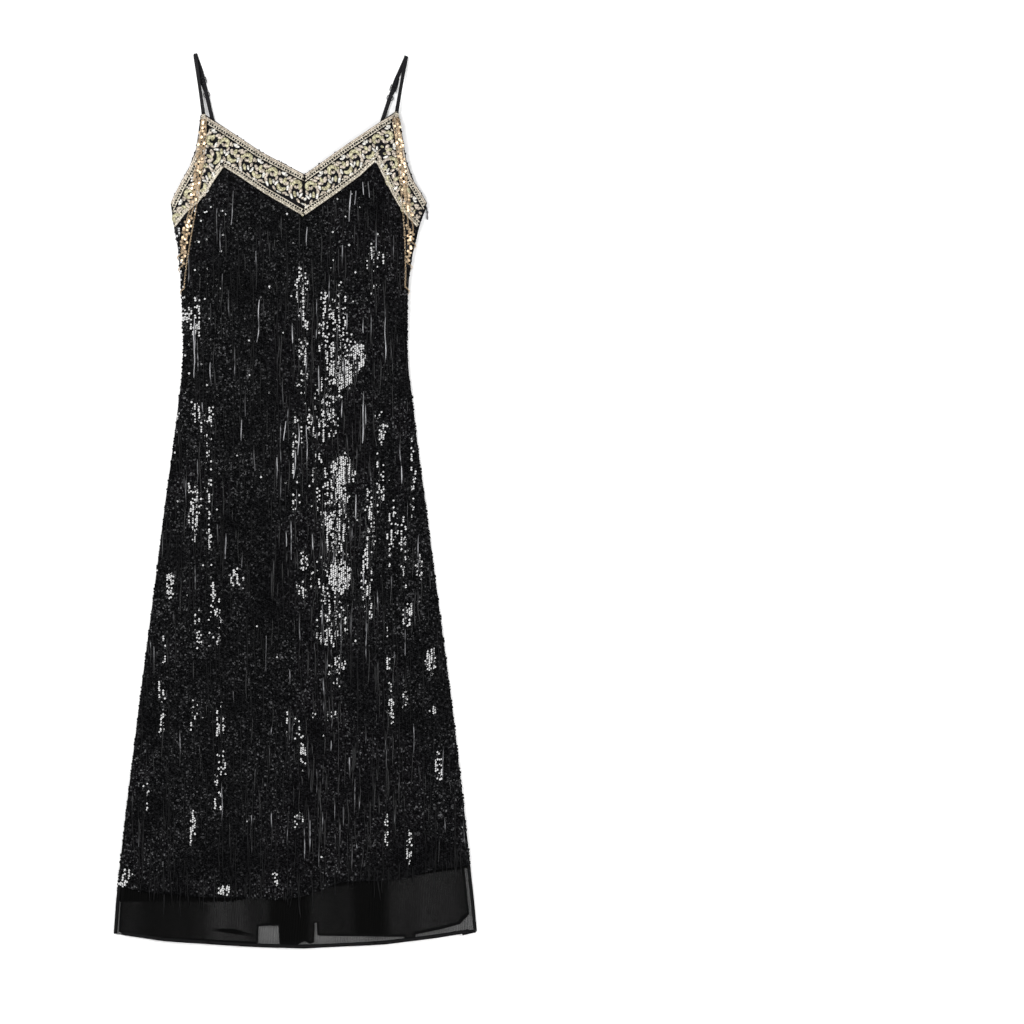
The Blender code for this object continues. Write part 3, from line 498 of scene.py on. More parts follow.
ribbons = []
for node, _, (flat, area), *_ in STRIPS:
    name = node.replace("trim", "ribbon")
    ribbons.append(sheet_over(node, name, 0.7, 1, 0, creased(0.1, 9.0, 14, 14)))
    lay(ribbons[-1], node, ground)
ribbon_tree = tree_of(*ribbons)
stitched = {name: [] for name in THREADS}
rails = {"cream": ([], []), "rose": ([], [])}  # lines and radii of the cords
ribbon_chance = random.Random(5)
for (node, start, _, *edges), ribbon in zip(STRIPS, ribbons):
    tree = tree_of(ribbon)
    reads = [polyline(edge) for edge in edges]
    middles = [read(length / 2)[0] for read, length in reads]
    length = reads[0][1]

    def spot(s, d):
        """The point at a length s along the band's nearer edge and d inwards, or None off it."""
        near = 0 if d < 41 else 1
        at, ahead = reads[near][0](s)
        normal = np.array([-ahead[1], ahead[0]])
        if np.dot(normal, middles[1 - near] - middles[near]) < 0:
            normal = -normal
        at = at + normal * (d if near == 0 else BAND - d)
        found = hit(ribbon_tree, *at)
        return None if found is None else (at[0], at[1], found[0])

    def on_band(point):
        return point is not None and hit(tree, point[0], point[1]) is not None

    for d, radius, colour in (
        (1.5, 1.5, "rose"), (3.9, 1.0, "cream"), (8.3, 0.85, "cream"),
        (42.6, 0.8, "cream"), (46.8, 0.9, "cream"), (49.3, 1.7, "cream"),
    ):  # fmt: skip
        line = []
        for s in np.arange(-40, length + 60, 2.0):
            point = spot(s, d)
            if on_band(point):
                line.append((point[0], point[1], point[2] + 0.2))
            if line and (not on_band(point) or s > length + 57):
                if len(line) > 3:
                    rails[colour][0].append(line)
                    rails[colour][1].append(radius)
                line = []
    for low, high, wide in ((4.2, 8.2, 2.1), (42.6, 46.9, 1.8)):
        for s in np.arange(-40, length + 60, 4.1):
            ends = spot(s, low), spot(s + ribbon_chance.gauss(0, 0.15), high)
            if all(on_band(end) for end in ends):
                line = [np.array(ends[0]), (np.array(ends[0]) + ends[1]) / 2, np.array(ends[1])]
                stitched["cream"].append(lens(line, wide, 0.55))
    for repeat in range(-2, 7):
        for colour, width, a, b, *shape in STITCHES:
            base, line = start + repeat * REPEAT, []
            if len(shape) == 3:
                radius, low, high = shape
                for angle in np.radians(np.linspace(low, high, 9)):
                    line.append((base + a + radius * math.cos(angle), b + radius * math.sin(angle)))
            else:
                c, d = shape
                bend = ribbon_chance.uniform(-0.7, 0.7)
                for t in np.linspace(0, 1, 5):
                    aside = bend * math.sin(math.pi * t)
                    line.append((base + a + (c - a) * t + aside, b + (d - b) * t + aside))
            line = [spot(a, 10 + 1.06 * (b - 10)) for a, b in line]
            if all(line) and on_band(line[len(line) // 2]):
                stitched[colour].append(lens(line, 1.22 * width, STITCH_TALL))

# Small leaves fill the gaps that the repeats leave, as at the mitres
taken = np.concatenate([points[2::5, :2] for parts in stitched.values() for points, _ in parts])
for _ in range(5000):
    at = np.array((ribbon_chance.uniform(-190, 198), ribbon_chance.uniform(1082, 1250)))
    way = ribbon_chance.uniform(0, math.pi)
    if hit(ribbon_tree, *at) is None or np.linalg.norm(taken - at, axis=1).min() < LEAF_GAP:
        continue
    line = [at + 2.6 * t * np.array((math.cos(way), math.sin(way))) for t in (-1, -0.5, 0, 0.5, 1)]
    found = [hit(ribbon_tree, *point) for point in line]
    if all(found):
        line = [(*point, under[0]) for point, under in zip(line, found)]
        stitched[ribbon_chance.choice(("silver", "rose", "green"))].append(lens(line, 4.2, 0.8))
        taken = np.concatenate([taken, [point[:2] for point in line]])

embroidery = []
for colour, parts in stitched.items():
    points, faces = joined(parts)
    name, gold_thread = "stitch_" + colour, THREADS[colour]
    embroidery.append(mesh_object(name, metres(points), faces, gold_thread, True))
for colour, cords in rails.items():
    name, gold_thread = "ribbon_cords_" + colour, THREADS[colour]
    embroidery.append(tube_object(name, *cords, gold_thread, "gold_ribbon", 6, 0.6))


# Sequins: thousands of small flat black discs, sewn to the net through one edge in upright rows, so
# each hangs at its own slight angle. Where a fold turns them to the light they flash white.
def turned_to(light, spot):
    """The slope of a disc, across and up the dress, that shows this light to the camera."""
    to_light = (place(*light) - spot).normalized()
    half = ((camera.location - spot).normalized() + to_light).normalized()
    return half.x / half.z, half.y / half.z


SEQUIN_WIDTH, ROW_STEP, ROW_PITCH = 3.1, 3.25, 3.0
SLACK, MOST_SLOPE = 0.052, 0.6  # spread of the slopes, and their limit
LOOSE_SLACK, LOOSE_SHARE = 0.26, 0.0018  # a few discs hang loose
# Patches where the cloth turns its sequins to the light: middle, half width, half height, strength
FLASHES = (
    (68, 862, 22, 24, 0.95), (92, 886, 13, 22, 0.85), (72, 717, 18, 22, 1.0),
    (66, 558, 18, 26, 1.0), (50, 835, 22, 22, 0.6), (42, 795, 26, 34, 0.62),
    (58, 925, 26, 70, 0.58), (60, 640, 20, 70, 0.72), (72, 675, 9, 10, 0.9), (56, 490, 24, 40, 0.6),
    (40, 560, 20, 30, 0.5), (34, 700, 14, 40, 0.5), (10, 965, 10, 60, 0.66), (12, 880, 9, 60, 0.52),
    (2, 770, 8, 34, 0.55), (66, 950, 12, 14, 0.7), (-152, 945, 14, 30, 0.6),
    (-170, 955, 6, 24, 0.6), (-146, 800, 10, 24, 0.62), (-130, 740, 6, 110, 0.52),
    (-150, 662, 10, 44, 0.62), (-128, 600, 5, 90, 0.55), (-188, 545, 6, 20, 0.8),
    (-124, 500, 6, 60, 0.55), (106, 560, 9, 50, 0.75), (112, 640, 8, 60, 0.62),
    (128, 700, 7, 50, 0.56), (128, 780, 12, 26, 0.6), (146, 620, 8, 50, 0.62),
    (162, 590, 6, 60, 0.62), (186, 570, 6, 20, 0.6), (168, 500, 8, 20, 0.62),
    (-2, 690, 9, 40, 0.45), (10, 565, 10, 40, 0.5), (-84, 552, 14, 20, 0.5), (203, 432, 8, 24, 0.8),
    (43, 480, 14, 28, 0.62), (62, 419, 12, 27, 0.6), (-146, 484, 5, 38, 0.55),
    (-115, 484, 6, 38, 0.55), (110, 506, 8, 16, 0.6), (139, 455, 3, 48, 0.5),
    (-198, 445, 4, 38, 0.5), (143, 367, 5, 32, 0.7), (164, 362, 4, 30, 0.6), (206, 357, 6, 6, 0.7),
    (50, 350, 28, 9, 0.48), (-6, 331, 12, 24, 0.45), (-201, 363, 7, 48, 0.52),
    (-152, 346, 6, 32, 0.56), (-113, 296, 8, 100, 0.48), (11, 288, 4, 36, 0.58),
    (215, 270, 7, 26, 0.62), (-224, 228, 5, 26, 0.54), (5, 191, 12, 16, 0.46),
    (-153, 181, 5, 28, 0.6), (137, 178, 4, 24, 0.7), (170, 153, 4, 42, 0.62),
    (-252, 108, 8, 12, 0.6), (-106, 88, 10, 9, 0.8), (-26, 105, 8, 12, 0.5), (-259, 97, 5, 5, 0.9),
    (120, 1020, 12, 40, 0.5), (-141, 1106, 9, 9, 0.6), (176, 700, 5, 60, 0.5),
)  # fmt: skip


def flash_at(x, height):
    """How surely the sequins at a point are turned to the light: over 0.5 they are."""
    best, round_patch = 0.0, False
    for middle, level, wide, high, strength in FLASHES:
        far = ((x - middle) / wide) ** 2 + ((height - level) / high) ** 2
        if far < 2.4:
            value = strength * min(1.0, max(0.0, 1.6 - far))
            if value > best:
                best, round_patch = value, strength > 0.75
    if not best:
        return 0.0
    streaks = noise.noise(Vector((x / 4.2, height / 26, 2.0)))
    ragged = noise.noise(Vector((x / 4.5, height / 5.5, 7.0)))
    if round_patch:
        return best * 0.92 + 0.75 * ragged + 0.25 * streaks
    return best * 0.86 + 0.62 * streaks + 0.45 * ragged


def sequins(name, tree, low, high, upward, seed, material, spread=1.0):
    """Rows of six-sided discs over a cloth, between two heights."""
    chance = random.Random(seed)
    angles = np.radians(np.arange(0, 360, 60) + 30)
    corners = np.stack([np.cos(angles), np.sin(angles)], 1) * (SEQUIN_WIDTH / 2 * spread)
    pitch, step = ROW_PITCH * spread, ROW_STEP * spread
    points, row, x = [], 0, -270.0
    while x < 270:
        row += 1
        lean = chance.uniform(0, 50)
        height = low + (step / 2 if row % 2 else 0)
        while height < high:
            level, at = height, (x + chance.gauss(0, 0.34), height + chance.gauss(0, 0.4))
            found = hit(tree, *at, upward)
            height += step
            covered = not upward and hit(ribbon_tree, *at)
            if not found or covered or abs(found[1].z) < 0.6:
                continue
            z, normal = found[0], -found[1] if upward else found[1]
            row_lean = 0.04 * math.sin(level / 31 + lean) + 0.03 * math.sin(level / 9 + 2 * lean)
            loose = LOOSE_SLACK if chance.random() < LOOSE_SHARE else SLACK
            across = chance.gauss(0, loose) + row_lean + 0.5 * normal.x / normal.z
            up = chance.gauss(0, loose) + 0.5 * normal.y / normal.z
            flash = 0.0 if upward else flash_at(*at)
            if flash > 0.5 and chance.random() < 0.5 + 0.6 * flash:
                aim = turned_to(KEY_LIGHT, place(*at))
                astray = 0.05 if flash > 0.8 else 0.13
                across = aim[0] + chance.gauss(0, astray)
                up = aim[1] + chance.gauss(0, astray)
            tilt = -np.clip([across, up], -MOST_SLOPE, MOST_SLOPE)
            disc = corners * chance.uniform(0.82, 1.2)
            slope = disc @ tilt * (-1 if upward else 1)
            rise = np.clip(slope, -0.42, 0.42 if upward else 0.9) + (-0.35 if upward else 0.42)
            points.append(np.column_stack([disc + at, z + rise]))
        x += pitch
    points = np.concatenate(points)
    faces = np.arange(len(points)).reshape(-1, 6)
    mesh_object(name, metres(points), faces[:, ::-1] if upward else faces, material)


sequin_black, shader, where = finish(
    "sequin_black", Specular_IOR_Level=0.7, Coat_Weight=0.5, Coat_Roughness=0.04
)
# Painted sparkle: a few discs, chosen at random and in loose patches, are coloured grey to stand in for
# dim glints. The rest stay near black.
chance_of = where.node("SeparateColor", {}, {"Color": where.cells(450, 1)})
painted_sparkle = where.maths("POWER", chance_of, 9.0) * where.noise(14).step(0.3, 0.62)
feed(shader, "Base Color", painted_sparkle.mix((0.0006, 0.0006, 0.0008, 1), (0.125, 0.125, 0.13, 1)))
feed(shader, "Roughness", where.noise(260, 1).step(0.3, 0.7) * 0.13 + 0.04)

front_tree = tree_of(front)
sequins("sequins_skirt", front_tree, 60, 560, False, 11, sequin_black)
sequins("sequins_body", front_tree, 560, 1255, False, 12, sequin_black)
back_tree = tree_of(back)


# Underskirt and slip: two layers of sheer black chiffon, front and back. Both hang below the sequins
# with narrow rolled hems, the slip a little shorter, so the hem is grey where only one layer lies.
def sheer(name, cover, fold, doubled=()):
    """Chiffon that stops this share of the light on each face, and more in folds or where doubled."""
    material, shader, where = finish(name, Roughness=0.9, Specular_IOR_Level=0.04)
    grain = where.turn(4).stretch(1, 0.22, 1).waves(90, "X", 6.0)
    feed(shader, "Base Color", grain.mix((0.002, 0.002, 0.002, 1), (0.0055, 0.0055, 0.0055, 1)))
    folds = where.stretch(1, 0.1, 1).noise(22).step(0.42, 0.62)
    creases = where.stretch(1, 0.3, 1).noise(170, 3).step(0.5, 0.62)
    stopped = grain * 0.05 + folds * fold + creases * (0.35 * fold) + cover
    across = where.node("SeparateXYZ", {}, {"Vector": where})
    for middle, half_width, extra in doubled:
        away = where.maths("ABSOLUTE", across - middle * MM)
        band = 1 - away.step(0.6 * half_width * MM, 1.4 * half_width * MM)
        stopped = stopped + band * extra
    feed(shader, "Alpha", stopped)
    return material


# The slip's upright folds: x of the middle, half the width, and how much more light it stops there
SLIP_FOLDS = (
    (-188, 52, 0.11), (-103, 28, -0.13), (-9, 25, 0.5), (112, 24, 0.36), (60, 26, 0.02),
    (206, 40, -0.1),
)  # fmt: skip
outer_chiffon = sheer("chiffon", 0.28, 0.03)
slip_chiffon = sheer("chiffon_dense", 0.345, 0.06, SLIP_FOLDS)
hem_black, shader, where = finish("rolled_hem", Roughness=0.85, Specular_IOR_Level=0.1)
mottle = where.stretch(1, 3, 1).noise(700)
feed(shader, "Base Color", mottle.mix((0.003, 0.003, 0.003, 1), (0.012, 0.012, 0.013, 1)))
feed(shader, "Alpha", where.noise(200) * 0.1 + 0.85)


# The slip's hem as x and height: it nearly meets the outer hem on the left, and is caught up here and
# there
SLIP_HEM = (
    (-275, 30), (-262, 23), (-200, 15), (-130, 10), (-60, 6.5), (-57.6, 6.5), (-56.4, 33),
    (-23.6, 34), (-22.4, 6), (4, 6), (14, 11), (22, 7), (26.4, 8), (27.6, 38), (33.4, 38),
    (34.6, 19), (70, 18.3), (120, 17.6), (164, 17.3), (165.2, 13), (178, 14), (179.2, 22),
    (215, 29), (240, 35.5), (262, 41), (275, 43),
)  # fmt: skip
SLIP_CORNERS = [x for x, _ in SLIP_HEM[1:-1]]
RECUT_BELOW = 70  # the slip keeps its shape above this height


def recut(layer):
    """Moves the slip's hem to SLIP_HEM, and its left side a little nearer the outer layer's."""
    form = bmesh.new()
    form.from_mesh(layer.data)
    for x in SLIP_CORNERS:
        bisect(form, place(x, 0), (1, 0, 0), dist=1e-6)
    tree = tree_of(layer)
    left, right, lows = side_edge(tree, 55, -1) + 1.5, side_edge(tree, 55, 1) - 1.5, {}
    for vert in form.verts:
        x, height = vert.co.x / MM, vert.co.y / MM + LENGTH / 2
        if height < RECUT_BELOW:
            key = round(x, 2)
            if key not in lows:
                inside = max(left, min(right, x + 0.06))
                lows[key] = lower_edge(tree, inside) or lower_edge(tree, inside - 0.13) or 30
            low, hem = lows[key], np.interp(x, *zip(*SLIP_HEM))
            share = (max(height, low) - low) / (RECUT_BELOW - low)
            vert.co.y = place(0, hem + share * (RECUT_BELOW - hem)).y
        vert.co.x -= 2.6 * MM * soft_step(-x, 200, 250)
    form.to_mesh(layer.data)
    form.free()


def lower_edge(tree, x, low=-3.0, high=140.0):
    """Height of the hem of a sheet at x, or None beside it."""
    if hit(tree, x, high) is None:
        return None
    for _ in range(14):
        middle = (low + high) / 2
        if hit(tree, x, middle) is None:
            low = middle
        else:
            high = middle
    return high


def side_edge(tree, height, side):
    """x of the left or right edge of a sheet at a height."""
    out, inner = 300 * side, 0.0
    for _ in range(16):
        middle = (out + inner) / 2
        if hit(tree, middle, height) is None:
            out = middle
        else:
            inner = middle
    return inner


OUTER = (outer_chiffon, 0.546, 0.0757, 2.7, 2.9)  # material, flat width and area in metres,
SLIP = (slip_chiffon, 0.526, 0.0652, 1.6, 1.8)  # and where the rolled hem lies and half its width
hem_paths, hem_sizes = [], []
layers = {}
for node, name, seed, size, under, (material, flat, area, inset, wide) in (
    ("underskirt_back", "chiffon_under_back", 21.0, 0.3, "table", OUTER),
    ("slip_back", "chiffon_slip_back", 22.0, 0.2, "back_net", SLIP),
    ("slip_front", "chiffon_slip_front", 23.0, 0.1, "back_net", SLIP),
    ("underskirt_front", "chiffon_under_front", 24.0, 1.1, "back_net", OUTER),
):
    layer = sheet_over(node, name, 0.25, 3, 5, creased(size, seed, 17, 140), shift=-0.35)
    layers[node] = layer
    if material is slip_chiffon:
        recut(layer)
    lay(layer, node, material)
    tree = tree_of(layer)
    hem = []
    ends = [side_edge(tree, 32, side) - 1.2 * side for side in (-1, 1)]
    for x in sorted([*np.arange(-265, 266, 5), *SLIP_CORNERS, *ends]):
        low = lower_edge(tree, x)
        if low is not None:
            hem.append((x, low + inset, hit(tree, x, low + inset)[0]))
    hem_paths.append(hem)
    hem_sizes.append(wide)
    for side in (-1, 1):
        edge = []
        for height in np.arange(22, 150, 4):
            x = side_edge(tree, height, side) - (wide - 0.2) * side
            found = hit(tree, x, height)
            if found:
                edge.append((x, height, found[0]))
        hem_paths.append(edge)
        hem_sizes.append(wide)
tube_object("rolled_hems", hem_paths, hem_sizes, hem_black, "chiffon", 6, 0.16)


# Back: the same sequinned net, seen from underneath, with a black satin binding along its top edge
# and the smooth black satin lining of the front showing above it.
sequins("sequins_back", back_tree, 50, 1122, True, 13, sequin_black, 1.4)

satin, shader, where = finish("black_satin", Roughness=0.36, Sheen_Weight=0.1)
feed(shader, "Base Color", where.noise(30).mix((0.006, 0.006, 0.008, 1), (0.016, 0.016, 0.02, 1)))
bump(shader, where.stretch(1, 0.3, 1).noise(60, 3), 1.2, 0.25)


def lining_creases(x, height):
    open_part = soft_step(height, 1142, 1165)
    return -0.9 * open_part * drape(x, height, 31.0, 70, 9) - 0.15 * drape(x, height, 32.0, 20, 40)


lining = sheet_over("front_lining", "lining", 0.45, 3, 3, lining_creases, side=-1)
lay(lining, "front_lining", satin)
binding = sheet_over("back_binding", "binding", 0.5, 1, 1, creased(0.12, 33.0, 6, 30))
lay(binding, "back_binding", satin)


# Fringe: limp strands of glossy black film, a few centimetres long, that hang all over the front from
# rows of stitches. Along part of their length they show pale streaks, partly light caught by their gloss
# and partly highlights painted into their colour, and the lowest pass the hem.
film, shader, where = finish(
    "black_film", Specular_IOR_Level=0.25, Coat_Weight=0.1, Coat_Roughness=0.2
)
# Painted highlight: long pale grey streaks, broken here and there, are painted on the black film where it
# would catch the light
painted_streak = where.stretch(1, 0.035, 1).noise(330, 1).step(0.58, 0.74)
broken = where.stretch(1, 0.5, 1).noise(220, 1).step(0.3, 0.6)
FILM_DARK, FILM_PALE = (0.001, 0.001, 0.0015, 1), (0.011, 0.011, 0.012, 1)
low = where.stretch(1, 0.05, 1).noise(500, 1).step(0.4, 0.7).mix(FILM_DARK, FILM_PALE)
feed(shader, "Base Color", (painted_streak * broken).mix(low, (0.36, 0.36, 0.38, 1)))
lit_film, shader, where = finish("lit_film", Coat_Weight=0.3, Coat_Roughness=0.2, Roughness=0.4)
shine = where.stretch(1, 0.14, 1).noise(260, 1).step(0.35, 0.62)
feed(shader, "Base Color", shine.mix((0.06, 0.06, 0.064, 1), (0.46, 0.46, 0.48, 1)))
dark_film, shader, where = finish("dark_film", Roughness=0.6, Specular_IOR_Level=0.2)
low = where.stretch(1, 0.2, 1).noise(400, 1).step(0.45, 0.8)
feed(shader, "Base Color", low.mix(FILM_DARK, FILM_PALE))

skirt_tree = tree_of(front, layers["underskirt_front"])
strand_chance = random.Random(21)
STRANDS_BROAD, STRANDS_FINE, STRANDS_AT_HEM = 400, 420, 48
hanging, sizes = [], []


def strand(x, top, length, tree, clear):
    """A line of points that hangs down over a surface, a little wavy."""
    lean, wave = strand_chance.gauss(0, 0.03), strand_chance.uniform(0.2, 1.0)
    phase, line = strand_chance.uniform(0, 6.3), []
    for t in np.linspace(0, 1, max(5, int(length / 7))):
        height = top - length * t
        at = x + lean * length * t * t + wave * math.sin(height / 9 + phase)
        found = hit(tree, at, height)
        if found is None or hit(ribbon_tree, at, height):
            break
        line.append((at, height, found[0] + clear))
    return line


def hang(line, fewest, thin, thick):
    """Keeps a strand that has enough points, with a radius drawn between two limits."""
    if len(line) >= fewest:
        share = np.linspace(0.12, 0.9, len(line))
        hanging.append(line)
        taper = np.maximum(0.25, np.sin(np.pi * share) ** 0.4)
        sizes.append(strand_chance.uniform(thin, thick) * taper)


def hung(name, material, sides, flat):
    """One object of the strands kept so far."""
    made = tube_object(name, hanging, sizes, material, "bead_fringe", sides, flat)
    hanging.clear()
    sizes.clear()
    return made


while len(hanging) < STRANDS_BROAD:
    near = strand_chance.random() < 0.5
    x = strand_chance.gauss(62, 46) if near else strand_chance.uniform(-255, 255)
    high = strand_chance.random() < 0.7
    top = strand_chance.uniform(480, 1165) if high else strand_chance.uniform(150, 480)
    hang(strand(x, top, strand_chance.uniform(14, 62), front_tree, 1.35), 4, 0.8, 1.45)
strands = hung("strands", film, 5, 0.45)
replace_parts(strands, "fringe_bust", "fringe_waist", "fringe_hip", "fringe_thigh", "fringe_calf")

LIT_STRANDS = (
    # x, height of its top, length
    (-92.6, 1135, 51), (82.8, 1135, 46), (90.8, 1135, 21), (101.6, 1148, 19), (110, 1149, 24),
    (17.2, 1081, 29), (-4.2, 937, 30), (77.4, 951, 24), (101.6, 945, 23), (135, 946, 68),
    (-127.4, 878, 35), (-80.6, 792, 32), (-15, 790, 29), (35.2, 873, 35), (69.4, 822, 27),
    (102.1, 835, 78), (5.2, 787, 48), (17.2, 784, 67), (0.3, 747, 43), (-27, 736, 21),
    (90.8, 680, 37), (-53.8, 972, 64), (159, 723, 27), (-13.6, 626, 24), (26, 621, 24),
    (-151.5, 945, 90),
)  # fmt: skip
for x, top, length in LIT_STRANDS:
    hang(strand(x, top, length, front_tree, 1.5), 3, 0.75, 1.05)
hung("strands_lit", lit_film, 5, 0.45)

while len(hanging) < STRANDS_FINE:
    x, top = strand_chance.uniform(-255, 255), strand_chance.uniform(130, 1160)
    hang(strand(x, top, strand_chance.uniform(30, 110), front_tree, 1.15), 4, 0.5, 0.85)
hung("strands_fine", dark_film, 4, 0.5)

LONG_AT_HEM = (-211, -196, -172, -143, -138, -50, 4, 119, 124, 130, 60, -95, 210)
for x in (*LONG_AT_HEM, *[strand_chance.uniform(-250, 250) for _ in range(STRANDS_AT_HEM)]):
    low = lower_edge(front_tree, x, 60, 160)
    if low is not None:
        long = x in LONG_AT_HEM
        past = strand_chance.uniform(14, 34) if long else abs(strand_chance.gauss(0, 9)) + 3
        above = strand_chance.uniform(8, 40)
        hang(strand(x, low + above, above + past, skirt_tree, 1.1), 4, 0.6, 0.95)
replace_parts(hung("hem_strands", dark_film, 5, 0.5), "fringe_hem")


# Straps: soft black satin tape, a little rolled on its edge, that turns over at the top and comes down
# behind through a slider and round a ring, both of black metal. A doubled tab joins the ring to the
# back, and a few cream stitches hold the strap's foot to the ribbon in front.
tape, shader, where = finish("strap_satin", Roughness=0.6, Specular_IOR_Level=0.2)
rib = where.waves(420, "Y")
feed(shader, "Base Color", rib.mix((0.002, 0.002, 0.003, 1), (0.008, 0.008, 0.01, 1)))
bump(shader, rib, 0.15, 0.5)
black_metal, shader, where = finish("black_metal", Metallic=0.4, Coat_Weight=0.5, Coat_Roughness=0.15)
feed(shader, "Base Color", where.noise(250).mix((0.01, 0.01, 0.011, 1), (0.03, 0.03, 0.033, 1)))
feed(shader, "Roughness", where.noise(500) * 0.2 + 0.2)
TAPE_THICK = 0.6
STRAPS = (
    # side, front root, top fold, start and end of the back leg, slider and ring as lengths down it
    ("left", (-137, 1246.5), (-150.2, 1341.6), (-147, 1341), (-125.5, 1246.8), 36, 63),
    ("right", (151.4, 1250), (166.2, 1338.2), (162.7, 1337.5), (130.5, 1241.1), 46, 66),
)
# Where the tape lies in z: over the top fold, then at lengths from the slider and from the ring
AT_FOLD = ((0.2, -0.9, 2.5), (0.4, -0.3, 1.8), (0.6, -0.9, 1.0))
AT_SLIDER = ((-8, 1), (-2, 1.7), (1.5, 1.75), (3.6, 3), (4.8, 3.65), (6, 3), (8.3, 1.75), (12, 1.7))
AT_RING = ((-7.5, 2.3), (-4.6, 2.95), (-1.5, 2.9), (1, 2.4), (1.9, 1.8), (1, 1.1), (-4.6, 0.65))


def tape_along(stations):
    """Points and faces of a flat tape through stations of x, height, z, half width and roll."""
    stations = np.array(stations, float)
    middle, half, roll = stations[:, :3], stations[:, 3:4], np.radians(stations[:, 4:5])
    along = unit(np.gradient(middle, axis=0))
    level = unit(np.cross((0, 0, 1), middle[-1] - middle[0]))
    across = np.cos(roll) * level + np.sin(roll) * np.cross(along, level)
    thick = np.cross(along, across)
    corners = [(-1, -0.5), (-0.8, 0.5), (0.8, 0.5), (1, -0.5)]
    rings = np.stack([middle + across * half * w + thick * TAPE_THICK * t for w, t in corners], 1)
    last = 4 * len(stations) - 1
    ends = [[3, 2, 1, 0], [last - 3, last - 2, last - 1, last]]
    return rings.reshape(-1, 3), np.concatenate([grid(len(stations), 4), ends])


def coat(material, *nodes):
    """Gives this material to CAD nodes that keep their shape."""
    for node in nodes:
        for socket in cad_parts[node].material_slots:
            socket.material = material


tip_stitches = []
for side, root, fold, start, knee, slider, ring in STRAPS:
    sign = 1 if side == "left" else -1
    leg_tree = tree_of(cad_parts["strap_" + side])
    down = np.array(knee, float) - start
    down /= np.linalg.norm(down)
    front_leg = []
    for t in np.linspace(0, 1, 14):
        x, height = root[0] + (fold[0] - root[0]) * t, root[1] + (fold[1] - 2 - root[1]) * t
        found = hit(leg_tree, x, height)
        z = (found[0] if found else 2.6) - 0.3 - 1.2 * math.sin(math.pi * min(1, t * 2))
        z = max(1.4, z) if t < 1 else 2.7
        roll = -28 * sign * math.sin(math.pi * min(1, t * 1.1))
        front_leg.append((x, height, z + 0.5 * math.sin(math.pi * t), 2.9, roll))
    turn = [(fold[0] + out * sign, fold[1] + rise, z, 2.5, 0) for out, rise, z in AT_FOLD]
    back_leg = [(fold[0] + 1.2 * sign, fold[1] - 4, 0.75, 2.7, 0)]
    way = [(slider + s, z, 0) for s, z in AT_SLIDER] + [(ring + s, z, 0) for s, z in AT_RING]
    way += [(ring - 10, 0.55, 1.2), (slider + 8, 0.55, 2.4)]
    way += [(slider, 0.55, 2.6), (slider - 12, 0.55, 1.2)]
    for s, z, aside in way:
        back_leg.append((start[0] + down[0] * s - aside * sign, start[1] + down[1] * s, z, 3.0, 0))
    points, faces = joined([tape_along(front_leg + turn[:2]), tape_along(turn[1:] + back_leg)])
    strap = mesh_object("tape_" + side, metres(points), faces, tape)
    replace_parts(strap, "strap_" + side)
    tip_tree = tree_of(*ribbons, front, strap)
    for rise in (-2.6, 0.1, 2.4):
        line = []
        for t in np.linspace(-1, 1, 7):
            at = root[0] + 3.9 * t, root[1] + rise - 0.8 * t * t
            found = hit(tip_tree, *at)
            line.append((*at, (found[0] if found else 5.0) + 0.15))
        level = max(z for _, _, z in line)
        tip_stitches.append(lens([(x, height, (z + level) / 2) for x, height, z in line], 3.0, 0.5))
    coat(tape, "strap_tab_" + side)
    coat(black_metal, "slider_" + side, "ring_" + side)
points, faces = joined(tip_stitches)
mesh_object("strap_stitches", metres(points), faces, THREADS["cream"], True)


# Chains: on each side three strands of fine gold cable chain hang from the strap point over the front,
# turn round the side and rise behind to a ring at the foot of the back strap. Two carry small coins.
gold, shader, where = finish("gold_metal", Metallic=1.0)
tone = where.noise(140, 3)
feed(shader, "Base Color", tone.mix((0.52, 0.36, 0.21, 1), (0.96, 0.78, 0.56, 1)))
feed(shader, "Roughness", where.noise(600) * 0.3 + 0.28)

STRANDS = (
    # name, front from the strap point, height where it turns, back up to the ring, coins
    (
        "chain_left_outer",
        ((-139.6, 1241), (-143.2, 1197), (-152, 1137), (-155.3, 1114), (-161, 1095), (-169, 1056)),
        1036, ((-150, 1016), (-128, 1050), (-107.5, 1100), (-101.6, 1139)), True,
    ),
    (
        "chain_left_inner",
        ((-136.2, 1241), (-139.2, 1197), (-147.8, 1137), (-151.3, 1114), (-156.5, 1093), (-166, 1043)),
        1018, ((-146, 997), (-123, 1030), (-103.5, 1090), (-98, 1139)), True,
    ),
    (
        "chain_left_long",
        ((-132.9, 1241), (-135, 1197), (-143.6, 1137), (-147.4, 1114), (-154.5, 1074), (-163.5, 1020)),
        984, ((-150, 966), (-122, 1000), (-99.6, 1080), (-94.6, 1139)), False,
    ),
    (
        "chain_right_outer",
        ((153.4, 1244), (159.5, 1197), (166.6, 1137), (171, 1114), (177, 1078)),
        1054, ((158, 1020), (136, 1054), (116.5, 1100), (111.6, 1139)), True,
    ),
    (
        "chain_right_inner",
        ((150, 1244), (156, 1197), (162.4, 1137), (166, 1114), (169.8, 1080), (171.5, 1050)),
        1022, ((154, 997), (131, 1030), (112.5, 1090), (108, 1139)), True,
    ),
    (
        "chain_right_long",
        ((146.7, 1244), (152.5, 1197), (158.4, 1137), (161.8, 1100), (164.5, 1060), (165.5, 1010)),
        986, ((156, 966), (130, 1000), (108.6, 1080), (104.6, 1139)), False,
    ),
)  # fmt: skip
LINK_PITCH, LINK_LONG, LINK_WIRE = 2.3, 1.65, 0.3
LINK_LEAN = 38  # degrees each way from lying flat, link by link
COIN_PITCH, COIN = 3.5, 1.95


